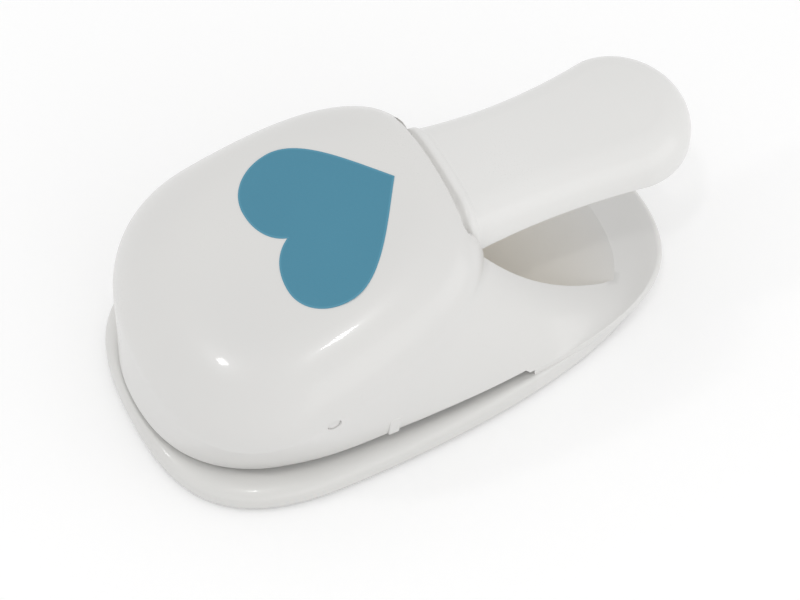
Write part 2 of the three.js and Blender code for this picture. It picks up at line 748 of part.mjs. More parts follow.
function plateRivet(side) {
  const rivet = turned(side * RIVET_X, RIVET_STATION, [
    [0, DIE_BOTTOM - RIVET_HEAD_HEIGHT],
    [RIVET_HEAD_RADIUS, DIE_BOTTOM - RIVET_HEAD_HEIGHT],
    [RIVET_HEAD_RADIUS, DIE_BOTTOM],
    [RIVET_RADIUS, DIE_BOTTOM],
    [RIVET_RADIUS, GUIDE_TOP],
    [RIVET_HEAD_RADIUS, GUIDE_TOP],
    [RIVET_HEAD_RADIUS, GUIDE_TOP + RIVET_HEAD_HEIGHT],
    [0, GUIDE_TOP + RIVET_HEAD_HEIGHT],
  ]);
  return toMesh(`plate_rivet_${sideName(side)}`, rivet, steel);
}

// A screw driven upwards, head at the bottom
function screwUp(name, x, station, bottom, length) {
  const screw = turned(x, station, [
    [0, bottom],
    [SCREW_HEAD_RADIUS, bottom],
    [SCREW_HEAD_RADIUS, bottom + SCREW_HEAD_HEIGHT],
    [SCREW_RADIUS, bottom + SCREW_HEAD_HEIGHT],
    [SCREW_RADIUS, bottom + length],
    [0, bottom + length],
  ]);
  return toMesh(name, screw, steel);
}

function baseScrew(name, side, screw) {
  return screwUp(name, side * screw.x, screw.station, UNDERSIDE, screw.length);
}

// Punch block, its posts and springs

function heartPunch() {
  let punch = slab(
    heartShape(PUNCH_WIDTH, PUNCH_LENGTH, DIE_CENTRE), HEAD_BOTTOM + PUNCH_LIFT, HOLDER_BOTTOM,
  );
  const depth = HOLDER_TOP - PUNCH_SCREW_LENGTH - GAP;
  for (const side of [-1, 1]) {
    const x = side * PUNCH_SCREW_X;
    punch = punch.subtract(upright(x, DIE_CENTRE, SCREW_RADIUS + GAP, depth, FAR_OUT));
  }
  return toMesh('heart_punch', punch, hardSteel);
}

function punchHolder() {
  let holder = slab(
    roundedRectangle(HOLDER_HALF_WIDTH, HOLDER_FRONT, HOLDER_REAR, HOLDER_CORNER),
    HOLDER_BOTTOM, HOLDER_TOP,
  );
  const seatRadius = SPRING_RADIUS + SPRING_WIRE + GAP;
  for (const side of [-1, 1]) {
    const post = side * POST_SPREAD;
    const screw = side * PUNCH_SCREW_X;
    holder = holder.subtract(upright(post, DIE_CENTRE, POST_RADIUS + GAP, 0, FAR_OUT));
    holder = holder.subtract(upright(post, DIE_CENTRE, seatRadius, 0, HOLDER_BOTTOM + SPRING_SEAT_DEPTH));
    holder = holder.subtract(upright(screw, DIE_CENTRE, SCREW_RADIUS + GAP, 0, FAR_OUT));
    holder = holder.subtract(upright(
      screw, DIE_CENTRE, SCREW_HEAD_RADIUS + GAP, HOLDER_TOP - SCREW_HEAD_HEIGHT, FAR_OUT,
    ));
  }
  return toMesh('punch_holder', holder, innerPlastic);
}

function punchScrew(side) {
  const screw = turned(side * PUNCH_SCREW_X, DIE_CENTRE, [
    [0, HOLDER_TOP - PUNCH_SCREW_LENGTH],
    [SCREW_RADIUS, HOLDER_TOP - PUNCH_SCREW_LENGTH],
    [SCREW_RADIUS, HOLDER_TOP - SCREW_HEAD_HEIGHT],
    [SCREW_HEAD_RADIUS, HOLDER_TOP - SCREW_HEAD_HEIGHT],
    [SCREW_HEAD_RADIUS, HOLDER_TOP],
    [0, HOLDER_TOP],
  ]);
  return toMesh(`punch_screw_${sideName(side)}`, screw, steel);
}

function guidePost(side) {
  const post = turned(side * POST_SPREAD, DIE_CENTRE, [
    [0, HEAD_BOTTOM],
    [POST_SHANK_RADIUS, HEAD_BOTTOM],
    [POST_SHANK_RADIUS, GUIDE_TOP],
    [POST_RADIUS, GUIDE_TOP],
    [POST_RADIUS, HOLDER_TOP + POST_ABOVE_HOLDER],
    [0, HOLDER_TOP + POST_ABOVE_HOLDER],
  ]);
  return toMesh(`guide_post_${sideName(side)}`, post, steel);
}

// Middle line of a compression spring: one helix from the guide plate up into its seat
function springLine() {
  const bottom = GUIDE_TOP + GAP + SPRING_WIRE / 2;
  const top = HOLDER_BOTTOM + SPRING_SEAT_DEPTH - GAP - SPRING_WIRE / 2;
  const steps = SPRING_CURLS * CURL_STEPS;
  const line = [];
  for (let step = 0; step <= steps; step += 1) {
    const turn = (step / CURL_STEPS) * 2 * Math.PI;
    line.push(new THREE.Vector3(
      SPRING_RADIUS * Math.cos(turn),
      SPRING_RADIUS * Math.sin(turn),
      bottom + (top - bottom) * (step / steps),
    ));
  }
  return line;
}

// Least gap between two stretches of wire that are at least half a curl apart
function leastGap(line) {
  let least = Infinity;
  for (let first = 0; first < line.length; first += 1) {
    for (let second = first + CURL_STEPS / 2; second < line.length; second += 1) {
      least = Math.min(least, line[first].distanceTo(line[second]) - SPRING_WIRE);
    }
  }
  return least;
}

// The wire is one unbroken tube round that line
function returnSpring(side) {
  const wireRadius = SPRING_WIRE / 2;
  const line = springLine();
  const corners = [];
  const index = [];
  for (const point of line) {
    const outward = new THREE.Vector3(point.x, point.y, 0).normalize();
    for (let sideStep = 0; sideStep < WIRE_SIDES; sideStep += 1) {
      const around = (sideStep / WIRE_SIDES) * 2 * Math.PI;
      const corner = point.clone().addScaledVector(outward, wireRadius * Math.cos(around));
      corner.z += wireRadius * Math.sin(around);
      corners.push(corner.add(new THREE.Vector3(side * POST_SPREAD, DIE_CENTRE, 0)));
    }
  }
  for (let step = 0; step < line.length - 1; step += 1) {
    for (let sideStep = 0; sideStep < WIRE_SIDES; sideStep += 1) {
      const next = (sideStep + 1) % WIRE_SIDES;
      const low = step * WIRE_SIDES;
      const high = low + WIRE_SIDES;
      index.push(low + sideStep, high + next, low + next);
      index.push(low + sideStep, high + sideStep, high + next);
    }
  }
  const end = corners.length - WIRE_SIDES;
  for (let sideStep = 1; sideStep < WIRE_SIDES - 1; sideStep += 1) {
    index.push(0, sideStep, sideStep + 1);
    index.push(end, end + sideStep + 1, end + sideStep);
  }
  const geometry = new THREE.BufferGeometry().setFromPoints(corners);
  geometry.setIndex(index);
  return toMesh(`return_spring_${sideName(side)}`, toSolid(geometry), steel);
}

// Fulcrum: two steel cheeks on the guide plate carry the lever's pin

function fulcrumCheek(side) {
  const clear = HOLDER_TOP + CHEEK_ABOVE_HOLDER;
  const shape = polygon([
    [CHEEK_FOOT_FRONT, GUIDE_TOP],
    [CHEEK_FOOT_REAR, GUIDE_TOP],
    [CHEEK_FOOT_REAR, clear],
    [FULCRUM_STATION + CHEEK_EYE / 2, clear],
    [FULCRUM_STATION + CHEEK_EYE, FULCRUM_HEIGHT],
    [FULCRUM_STATION + CHEEK_EYE / 2, FULCRUM_HEIGHT + CHEEK_EYE],
    [FULCRUM_STATION - CHEEK_EYE, FULCRUM_HEIGHT + CHEEK_EYE],
    [CHEEK_FOOT_FRONT, FULCRUM_HEIGHT - CHEEK_EYE],
  ]);
  const inner = ARM_HALF_WIDTH + CHEEK_SIDE_PLAY;
  const eye = crosswise(FULCRUM_STATION, FULCRUM_HEIGHT, PIN_RADIUS + GAP, -FAR_OUT, FAR_OUT);
  const cheek = sideProfile(shape, ...span(side, inner, inner + CHEEK_SHEET)).subtract(eye);
  return toMesh(`fulcrum_cheek_${sideName(side)}`, cheek, steel);
}

function fulcrumPin() {
  const pin = crosswise(
    FULCRUM_STATION, FULCRUM_HEIGHT, PIN_RADIUS, -PIN_HALF_LENGTH, PIN_HALF_LENGTH,
  );
  return toMesh('fulcrum_pin', pin, hardSteel);
}

// Wall's outer face at the pin, found on the casing's own rising outline
function wallFaceAtPin() {
  const nearest = (outline) => outline.slice(0, NOSE_STEPS + TAIL_STEPS)
    .reduce((best, point) => (
      Math.abs(point.y - FULCRUM_STATION) < Math.abs(best.y - FULCRUM_STATION) ? point : best
    ));
  const foot = nearest(casingOutline).x;
  const crown = nearest(crownOutline).x;
  const wallTop = topHeight(FULCRUM_STATION) - SHOULDER_DROP;
  const share = ((FULCRUM_HEIGHT - HEAD_BOTTOM) / (wallTop - HEAD_BOTTOM)) ** (1 / HEAD_POWER_SHARE);
  return foot + (crown - foot) * share;
}

function pinCap(side) {
  const reach = span(side, PIN_HALF_LENGTH + GAP, wallFaceAtPin() - PIN_CAP_RECESS);
  const cap = crosswise(FULCRUM_STATION, FULCRUM_HEIGHT, PIN_RADIUS, ...reach);
  return toMesh(`pin_cap_${sideName(side)}`, cap, whitePlastic);
}

// Lever

function armShape(drop) {
  const clear = HOLDER_TOP + ARM_CLEAR_OF_HOLDER;
  return polygon([
    [FULCRUM_STATION + ARM_NOSE_RADIUS, clear],
    [DIE_CENTRE + ROLLER_RADIUS, clear],
    [ARM_BEND + ARM_SHEET, ARM_BOTTOM],
    [ARM_REAR, ARM_BOTTOM],
    [ARM_REAR, ARM_TOP - drop],
    [ARM_BEND, ARM_TOP - drop],
    [FULCRUM_STATION, FULCRUM_HEIGHT + ARM_NOSE_RADIUS - drop],
    [FULCRUM_STATION - ARM_NOSE_RADIUS, FULCRUM_HEIGHT + ARM_NOSE_RADIUS / 2 - drop],
    [FULCRUM_STATION - ARM_NOSE_RADIUS, FULCRUM_HEIGHT - ARM_NOSE_RADIUS / 2],
    [FULCRUM_STATION - ARM_NOSE_RADIUS / 2, clear],
  ]);
}

function leverArm() {
  const innerHalf = ARM_HALF_WIDTH - ARM_SHEET;
  let arm = sideProfile(armShape(0), -ARM_HALF_WIDTH, ARM_HALF_WIDTH);
  const channel = sideProfile(armShape(ARM_SHEET), -innerHalf, innerHalf);
  const openBelow = sideProfile(polygon([
    [FULCRUM_STATION - 2 * ARM_NOSE_RADIUS, 0],
    [FAR_OUT, 0],
    [FAR_OUT, ARM_BOTTOM + ARM_SHEET],
    [ARM_BEND, ARM_BOTTOM + ARM_SHEET],
    [DIE_CENTRE, HOLDER_TOP + ARM_CLEAR_OF_HOLDER + ARM_SHEET],
    [FULCRUM_STATION - 2 * ARM_NOSE_RADIUS, HOLDER_TOP + ARM_CLEAR_OF_HOLDER + ARM_SHEET],
  ]), -innerHalf, innerHalf);
  arm = arm.subtract(channel).subtract(openBelow);
  arm = arm.subtract(crosswise(
    FULCRUM_STATION, FULCRUM_HEIGHT, PIN_RADIUS + GAP, -FAR_OUT, FAR_OUT,
  ));
  arm = arm.subtract(crosswise(
    DIE_CENTRE, ROLLER_HEIGHT, ROLLER_PIN_RADIUS + GAP, -FAR_OUT, FAR_OUT,
  ));
  for (const station of GRIP_SCREW_STATIONS) {
    arm = arm.subtract(upright(0, station, GRIP_BOSS_RADIUS + GAP, 0, FAR_OUT));
  }
  return toMesh('lever_arm', arm, steel);
}

function pressRoller() {
  const half = ARM_HALF_WIDTH - ARM_SHEET - GAP;
  const bore = crosswise(DIE_CENTRE, ROLLER_HEIGHT, ROLLER_PIN_RADIUS + GAP, -FAR_OUT, FAR_OUT);
  const roller = crosswise(DIE_CENTRE, ROLLER_HEIGHT, ROLLER_RADIUS, -half, half).subtract(bore);
  return toMesh('press_roller', roller, hardSteel);
}

function rollerPin() {
  const pin = crosswise(
    DIE_CENTRE, ROLLER_HEIGHT, ROLLER_PIN_RADIUS, -ARM_HALF_WIDTH, ARM_HALF_WIDTH,
  );
  return toMesh('roller_pin', pin, hardSteel);
}

// Grip outline: straight collar, slight waist, round palm end
function gripOutline() {
  const start = WELL_FRONT_CORNER - GRIP_CORNER;
  const palm = OVERALL_LENGTH - GRIP_BULB_STATION;
  const sideCurve = new THREE.CubicBezierCurve(
    new THREE.Vector2(GRIP_COLLAR_HALF_WIDTH, start + GRIP_CORNER),
    new THREE.Vector2(GRIP_WAIST_HALF_WIDTH, GRIP_WAIST_STATION - GRIP_CORNER),
    new THREE.Vector2(GRIP_WAIST_HALF_WIDTH, GRIP_WAIST_STATION + GRIP_CORNER),
    new THREE.Vector2(GRIP_BULB_HALF_WIDTH, GRIP_BULB_STATION),
  );
  const endCurve = new THREE.CubicBezierCurve(
    new THREE.Vector2(GRIP_BULB_HALF_WIDTH, GRIP_BULB_STATION),
    new THREE.Vector2(
      GRIP_BULB_HALF_WIDTH + GRIP_BULB_SWELL, GRIP_BULB_STATION + palm * GRIP_END_SHARE,
    ),
    new THREE.Vector2(GRIP_BULB_HALF_WIDTH * GRIP_END_SHARE, OVERALL_LENGTH),
    new THREE.Vector2(0, OVERALL_LENGTH),
  );
  return mirrored([
    new THREE.Vector2(0, start),
    new THREE.Vector2(GRIP_COLLAR_HALF_WIDTH, start),
    ...sideCurve.getPoints(GRIP_STEPS),
    ...endCurve.getPoints(GRIP_STEPS).slice(1),
  ]);
}

function gripTop(station, drop) {
  const waist = Math.sin(Math.PI * THREE.MathUtils.clamp(
    (station - WELL_FRONT_CORNER) / (GRIP_BULB_STATION - WELL_FRONT_CORNER), 0, 1,
  ));
  return GRIP_TOP - GRIP_DIP * waist - drop;
}

function gripLoft(shrink, bottom) {
  const outline = inset(gripOutline(), shrink);
  const corner = GRIP_CORNER - shrink;
  const rings = [ring(outline, bottom)];
  for (let step = 0; step <= GRIP_CORNER_STEPS; step += 1) {
    const angle = (step / GRIP_CORNER_STEPS) * (Math.PI / 2);
    rings.push(ring(inset(outline, corner * (1 - Math.cos(angle))), (point) => {
      return gripTop(point.y, shrink) - corner * (1 - Math.sin(angle));
    }));
  }
  const spine = rings.at(-1).map((point) => new THREE.Vector2(point.x / 2, point.y));
  rings.push(ring(spine, (point) => gripTop(point.y, shrink) + GRIP_CROWN));
  return skin(rings);
}

function leverGrip() {
  const setback = COLLAR_GAP;
  const ridge = gripLoft(-COLLAR_PROUD, GRIP_BOTTOM)
    .subtract(slab(wellShape(FAR_OUT, setback + COLLAR_WIDTH), 0, FAR_OUT));
  let grip = gripLoft(0, GRIP_BOTTOM).add(ridge);
  grip = grip.intersect(slab(wellShape(FAR_OUT, setback), 0, FAR_OUT));
  let hollow = gripLoft(GRIP_WALL, 0)
    .intersect(slab(wellShape(FAR_OUT, setback + GRIP_WALL), 0, FAR_OUT));
  for (const station of GRIP_SCREW_STATIONS) {
    hollow = hollow.subtract(upright(0, station, GRIP_BOSS_RADIUS, ARM_BOTTOM, FAR_OUT));
  }
  grip = grip.subtract(hollow);
  grip = grip.subtract(block(
    [-ARM_HALF_WIDTH - GAP, 0, 0],
    [ARM_HALF_WIDTH + GAP, WELL_FRONT_CORNER + WELL_FRONT_BOW + GRIP_WALL, ARM_TOP + GAP],
  ));
  for (const station of GRIP_SCREW_STATIONS) {
    grip = grip.subtract(upright(0, station, SCREW_RADIUS + GAP, 0, ARM_TOP));
  }
  return toMesh('lever_grip', grip, whitePlastic);
}

function leverLiner() {
  const bottom = GRIP_BOTTOM + LINER_RECESS;
  const rim = new THREE.Shape(inset(gripOutline(), GRIP_WALL + GAP));
  let liner = slab(rim, bottom, bottom + LINER_THICKNESS);
  liner = liner.intersect(block(
    [-FAR_OUT, WELL_FRONT_CORNER + WELL_FRONT_BOW + GRIP_WALL, 0],
    [FAR_OUT, FAR_OUT, FAR_OUT],
  ));
  const headTop = bottom + SCREW_HEAD_HEIGHT;
  for (const station of GRIP_SCREW_STATIONS) {
    liner = liner.subtract(upright(0, station, SCREW_RADIUS + GAP, 0, FAR_OUT));
    liner = liner.subtract(upright(0, station, SCREW_HEAD_RADIUS + GAP, 0, headTop));
  }
  return toMesh('lever_liner', liner, whitePlastic);
}

// Printed heart on the sloping top

function heartDecal() {
  const slope = Math.atan(TOP_RISE / TOP_RISE_RUN);
  const geometry = new THREE.ExtrudeGeometry(heartShape(DECAL_WIDTH, DECAL_LENGTH, 0), {
    depth: DECAL_THICKNESS,
    bevelEnabled: false,
    curveSegments: HEART_STEPS,
  });
  const mesh = toMesh('heart_decal', toSolid(geometry), tealPrint);
  mesh.rotation.x = slope;
  mesh.position.set(0, DIE_CENTRE, topHeight(DIE_CENTRE) + GAP);
  return mesh;
}

function foot(name, x, station) {
  return toMesh(name, upright(x, station, FOOT_RADIUS, 0, UNDERSIDE), rubber);
}

const part = new THREE.Group();
part.add(
  headCover(),
  jawShell(),
  basePlate(),
  toMesh('die_plate', plateBlank(DIE_BOTTOM), steel),
  guidePlate(),
  slotSpacer(),
  heartPunch(),
  punchHolder(),
  fulcrumPin(),
  leverArm(),
  pressRoller(),
  rollerPin(),
  leverGrip(),
  leverLiner(),
  heartDecal(),
);
for (const side of [-1, 1]) {
  const name = sideName(side);
  part.add(
    plateRivet(side),
    punchScrew(side),
    guidePost(side),
    returnSpring(side),
    fulcrumCheek(side),
    pinCap(side),
    baseScrew(`front_base_screw_${name}`, side, FRONT_SCREW),
    baseScrew(`rear_base_screw_${name}`, side, REAR_SCREW),
    foot(`front_foot_${name}`, side * FRONT_FOOT.x, FRONT_FOOT.station),
    foot(`rear_foot_${name}`, side * REAR_FOOT.x, REAR_FOOT.station),
  );
  GUIDE_SCREW_STATIONS.forEach((station, row) => {
    const place = row === 0 ? 'front' : 'rear';
    part.add(screwUp(
      `${place}_guide_screw_${name}`, side * GUIDE_SCREW_X, station, HEAD_BOTTOM, GUIDE_SCREW_LENGTH,
    ));
  });
}
GRIP_SCREW_STATIONS.forEach((station, row) => {
  const place = row === 0 ? 'front' : 'rear';
  const bottom = GRIP_BOTTOM + LINER_RECESS;
  part.add(screwUp(`${place}_grip_screw`, 0, station, bottom, ARM_TOP - bottom - GAP));
});
part.position.y = -OVERALL_LENGTH / 2;

console.log(`Return springs: least gap between curls ${leastGap(springLine()).toFixed(2)} mm`);

export default part;
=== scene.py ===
# Heart craft punch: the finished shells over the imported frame, and their materials.
# Sizes are in millimetres and carry the names of the part's source where it has them. The
# plates' rim, the collar's gap and the marks are given as they show, which differs a little
# from the source, and the meshes are finer. Stations count from the jaw's front edge towards
# the lever's end.

import json
import math

import bmesh
import bpy
import numpy as np
from mathutils import Matrix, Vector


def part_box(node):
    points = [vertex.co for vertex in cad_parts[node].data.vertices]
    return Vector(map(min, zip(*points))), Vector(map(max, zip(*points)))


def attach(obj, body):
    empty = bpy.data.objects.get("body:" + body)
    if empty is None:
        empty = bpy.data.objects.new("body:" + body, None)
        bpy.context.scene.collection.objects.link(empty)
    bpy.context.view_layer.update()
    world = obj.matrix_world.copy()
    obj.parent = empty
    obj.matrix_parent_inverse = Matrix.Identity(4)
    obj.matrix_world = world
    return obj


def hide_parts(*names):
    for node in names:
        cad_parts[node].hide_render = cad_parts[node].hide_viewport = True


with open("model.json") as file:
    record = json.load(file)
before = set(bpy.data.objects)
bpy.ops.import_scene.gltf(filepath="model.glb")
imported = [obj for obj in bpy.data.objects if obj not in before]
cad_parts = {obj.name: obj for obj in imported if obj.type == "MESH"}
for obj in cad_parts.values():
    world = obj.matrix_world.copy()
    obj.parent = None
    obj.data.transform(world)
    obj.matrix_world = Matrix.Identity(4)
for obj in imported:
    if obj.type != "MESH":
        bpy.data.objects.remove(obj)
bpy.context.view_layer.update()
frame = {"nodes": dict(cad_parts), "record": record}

MM = 0.001

# Sizes that the shells share
OVERALL_LENGTH = 165
LEVER_OVERHANG = 9
BODY_LENGTH = OVERALL_LENGTH - LEVER_OVERHANG
UNDERSIDE = 1
JAW_TOP = 8
SLOT_HEIGHT = 2
SLOT_CORNER_SHARE = 0.75
SLOT_CORNER = SLOT_HEIGHT * SLOT_CORNER_SHARE
SLOT_END = 102
HEAD_BOTTOM = JAW_TOP + SLOT_HEIGHT
WALL = 2.4
GAP = 0.3
OVERRUN = 5
FAR_OUT = OVERALL_LENGTH
VISUAL_CLEARANCE = 0.06

# Casing: its outline at the slot, and how its walls rise from there
CASING_FRONT = 1.5
CASING_HALF_WIDTH = 40
CASING_WIDEST = 58
CASING_NOSE = 25.5
CASING_CHEEK = 41.5
CASING_HIP_SHARE = 0.73
CASING_TAIL = 32
HEAD_POWER_SHARE = 1.15
TAIL_POWER_SHARE = 2.4
RIM_ROUND = 2

# Crown: the head's outline where its walls turn in to the top
CROWN_FRONT = 3.3
CROWN_HALF_WIDTH = 45
CROWN_WIDEST = 35.7
CROWN_NOSE = 30.3
CROWN_CHEEK = 19.6
CROWN_HIP = 49.2
CROWN_TAIL = 30
CROWN_REAR = 98
SHOULDER_REACH = 20.9
SHOULDER_DROP = 18.8
PLATEAU_CENTRE = 50
TOP_FRONT_HEIGHT = 40.7
TOP_SLOPE_SHARE = 0.286
TOP_PLANE_END = 85
TOP_DROP_RUN = 30
TOP_SHARES = [0.8, 0.6, 0.4, 0.2]

# Jaw and foot
JAW_HALF_WIDTH = 45
JAW_WIDEST = 43
JAW_NOSE = 24.7
JAW_CHEEK = 37.7
JAW_HIP_SHARE = 0.51
JAW_TAIL = 32.5
JAW_SHOULDER = 4.6
FOOT_TUCK = 0.8
FOOT_RISE = 1.2
FOOT_BEND_SHARE = 1 / 3
SKIRT_WALL = WALL + FOOT_TUCK

# The slot's lead-in
MOUTH_DEPTH = 2
MOUTH_RISE = 2
MOUTH_START = 22
MOUTH_FULL = 60
MOUTH_ROUND = 1.5
MOUTH_PLAY = 0.05

# Lever well, plates and openings
WELL_HALF_WIDTH = 22
WELL_CORNER = 2.4
WELL_FLOOR = 11.5
WELL_FRONT_CORNER = 89.2
WELL_FRONT_BOW = 3
BASE_PLATE_THICKNESS = 1.6
HOLLOW_TOP = UNDERSIDE + BASE_PLATE_THICKNESS + GAP
PLATE_THICKNESS = 2.2
PLATE_HALF_WIDTH = 36
PLATE_FRONT = 13
PLATE_RIM = 1.9
GUIDE_TOP = HEAD_BOTTOM + PLATE_THICKNESS
DIE_BOTTOM = JAW_TOP - PLATE_THICKNESS
RIVET_HEAD_HEIGHT = 1.1
WELL_WALL_BOTTOM = GUIDE_TOP + RIVET_HEAD_HEIGHT + GAP
CHIP_HALF_WIDTH = 29
CHIP_FRONT = 34
CHIP_REAR = 84

# Plugs over the lever's pin, and the marks for the heart's middle
FULCRUM_STATION = 40
FULCRUM_HEIGHT = 32.5
PIN_RADIUS = 1.75
PLUG_PLAY = 0.01
PLUG_SOFTNESS = 0.25
DIE_CENTRE = 58.5
MARK_WIDTH = 3.2
MARK_BOTTOM = 12.6
MARK_TOP = 20.2
MARK_PROUD = 1.2
MARK_ROOT = 1.2
MARK_SOFTNESS = 0.35

# Printed heart
DECAL_WIDTH = 52.8
DECAL_LENGTH = 39
DECAL_RIM = 0.5
DECAL_TUCK_SHARE = 1 / 3
DECAL_PROUD = 0.16
DECAL_SIDE_SHARE = 0.7
DECAL_FORWARD = 1.2
DECAL_SUNK = 0.2
LOBE_END_SHARE = 0.42
HEART_HALF_SHARES = [
    [[0, 0.174], [0.08, 0.07], [0.26, 0], [0.52, 0]],
    [[0.52, 0], [0.8, 0], [1, 0.14], [1, 0.33]],
    [[1, 0.33], [1, 0.57], [0.5, 0.77], [0, 1]],
]

# Lever's grip and the steel arm inside it
GRIP_BOTTOM = 46
GRIP_TOP = 58.6
GRIP_DIP = 1.2
GRIP_WALL = 2.2
GRIP_CORNER = 10
GRIP_CROWN = 0.7
GRIP_TOP_SHARES = [0.75, 0.5, 0.25]
GRIP_CEILING_SHARE = 0.5
GRIP_COLLAR_HALF_WIDTH = 20.8
GRIP_WAIST_HALF_WIDTH = 18.3
GRIP_BULB_HALF_WIDTH = 21.2
GRIP_BULB_SWELL = 0.6
GRIP_PALM_LENGTH = 20.8
GRIP_END_SHARE = 0.55
GRIP_WAIST_SHARE = 0.49
GRIP_BULB_STATION = OVERALL_LENGTH - GRIP_PALM_LENGTH
GRIP_WAIST_STATION = WELL_FRONT_CORNER + (GRIP_BULB_STATION - WELL_FRONT_CORNER) * GRIP_WAIST_SHARE
GRIP_LEAD = 14
GRIP_LIP = 0.6
LIP_BEND_SHARE = 0.3
COLLAR_GAP = 0.35
COLLAR_PROUD = 0.7
COLLAR_WIDTH = 3
CREST_POWER = 3
GROOVE_WIDTH = 1.4
GROOVE_DEPTH = 0.8
ARM_HALF_WIDTH = 10
ARM_PASSAGE = 1.2
ARM_ROOM = 0.9
ARM_TOP = GRIP_TOP - GRIP_DIP - GRIP_WALL - ARM_ROOM

# Fineness of the meshes
NOSE_STEPS = 42
TAIL_STEPS = 54
RISE_STEPS = 26
SHOULDER_STEPS = 16
SLOPE_STEPS = 8
HOLLOW_STEPS = 8
WELL_CORNER_STEPS = 4
ROUND_SIDES = 64
HEART_STEPS = 30
COLLAR_STEPS = 14
GRIP_STEPS = 70
GRIP_FRONT_STEPS = 8
GRIP_CORNER_STEPS = 14
GRIP_INSIDE_STRIDE = 3
WELD = 0.01

# Softened edges
SEAM_SOFTNESS = 0.4
SEAM_ROOM = 0.8
SEAM_STEP = 0.6
SEAM_TURN = math.radians(35)
SEAM_ANGLE = math.radians(25)
PLUG_ANGLE = math.radians(60)
SMOOTH_ANGLE = math.radians(38)
BEVEL_SEGMENTS = 3
PLUG_SEGMENTS = 4

# Patterns of the materials: noise scales per metre
SHELL_DRIFT = 22.0
SHELL_PEEL = 260.0
SHELL_GRAIN = 3200.0
RECESS_DRIFT = 40.0
RECESS_GRAIN = 2400.0
MATTE_DRIFT = 60.0
MATTE_SPARK = 1800.0
INK_DRIFT = 35.0
INK_MESH = 1600.0
STEEL_PATINA = 90.0
STEEL_STRETCH = (3000.0, 120.0, 2200.0)
RUBBER_PORES = 1300.0
FINE_DETAIL = 3.0
FINEST_DETAIL = 4.0

# How deep their bumps are
SHELL_BUMP = 0.05
RECESS_BUMP = 0.04
MATTE_BUMP = 0.08
INK_BUMP = 0.03
STEEL_BUMP = 0.03
RUBBER_BUMP = 0.1

# Where a pattern turns, and how much of the shell's bump is its orange peel
PATTERN_MIDDLE = 0.5
PEEL_SHARE = 0.75

# The recess's painted warm shade is full up to here and gone from there on
RECESS_WARM_STATION = 94.5
RECESS_PLAIN_STATION = 138.5
RECESS_WARM_HEIGHT = 14
RECESS_PLAIN_HEIGHT = 32

# Roughness of the kinds of finish that always have the same
RECESS_ROUGHNESS = 0.46
MATTE_ROUGHNESS = 0.6
INK_ROUGHNESS = 0.36
RUBBER_ROUGHNESS = 0.85

# Floor, light and camera, in metres and watts, with the lens and its sensor in millimetres
FLOOR_SIDE = 6.0
FLOOR_COLOUR = (0.86, 0.86, 0.86, 1)
FLOOR_ROUGHNESS = 0.9
FLOOR_LIFT = 0.2
WORLD_COLOUR = (1, 1, 1, 1)
WORLD_LEVEL = 0.8
BACKGROUND_LEVEL = 1.0
BODY_MIDDLE = (0, 0, 0.02)
TAIL_MIDDLE = (0, 0.05, 0.02)
SOFTBOXES = {
    "key": {"location": (0.35, -0.3, 1.2), "target": BODY_MIDDLE, "side": 0.08, "watts": 0.9},
    "front": {"location": (-0.3, -1.0, 0.85), "target": BODY_MIDDLE, "side": 0.1, "watts": 0.9},
    "side": {"location": (1.25, 0.15, 0.4), "target": BODY_MIDDLE, "side": 1.0, "watts": 1.6},
    "rear": {"location": (0.7, 0.85, 0.3), "target": TAIL_MIDDLE, "side": 0.8, "watts": 1.4},
}
CAMERA_PLACE = (0.52385, -0.25475, 0.80374)
CAMERA_BACK = (0.5361, -0.2630, 0.8021)
CAMERA_RIGHT = (0.4404, 0.8978, 0.0)
CAMERA_LENS = 162.7
CAMERA_SENSOR = 36
CAMERA_SHIFT = (-0.01755, -0.0403)
CAMERA_FAR_LIMIT = 20


def in_frame(points):
    """Points from the sizes above, in metres about the frame's origin."""
    return (np.asarray(points, float) - [0, OVERALL_LENGTH / 2, 0]) * MM


# Shader sums


class Socket:
    """An output of a shader tree that takes part in sums as a number does."""

    def __init__(self, tree, output):
        self.tree = tree
        self.output = output

    def make(self, kind, settings=(), inputs=(), output=0):
        node = self.tree.nodes.new(kind)
        for name, value in dict(settings).items():
            setattr(node, name, value)
        for key, value in dict(inputs).items():
            join(value, node.inputs[key])
        return Socket(self.tree, node.outputs[output])

    def math(self, operation, first, second):
        return self.make("ShaderNodeMath", {"operation": operation}, {0: first, 1: second})

    def __add__(self, other):
        return self.math("ADD", self, other)

    def __radd__(self, other):
        return self.math("ADD", other, self)

    def __sub__(self, other):
        return self.math("SUBTRACT", self, other)

    def __rsub__(self, other):
        return self.math("SUBTRACT", other, self)

    def __mul__(self, other):
        return self.math("MULTIPLY", self, other)

    def __rmul__(self, other):
        return self.math("MULTIPLY", other, self)


def join(value, socket):
    if isinstance(value, Socket):
        value.tree.links.new(value.output, socket)
    else:
        socket.default_value = value


def noise(place, scale, detail=2.0):
    return place.make("ShaderNodeTexNoise", {}, {"Vector": place, "Scale": scale, "Detail": detail})


def blend(factor, first, second):
    """Two colours mixed. 6, 7 and output 2 are the colour sockets of a Mix node."""
    return factor.make("ShaderNodeMix", {"data_type": "RGBA"}, {0: factor, 6: first, 7: second}, 2)


def ramp(value, start, end):
    limits = {"Value": value, "From Min": start, "From Max": end}
    return value.make("ShaderNodeMapRange", {"clamp": True}, limits)


def swing(pattern, reach):
    """A pattern's value about zero, as wide as reach from end to end."""
    return (pattern - PATTERN_MIDDLE) * reach


def tone(pattern, colour, deeper, spread):
    """A colour that turns into a deeper one within a spread about the pattern's middle."""
    return blend(ramp(pattern, PATTERN_MIDDLE - spread, PATTERN_MIDDLE + spread), colour, deeper)


# Materials


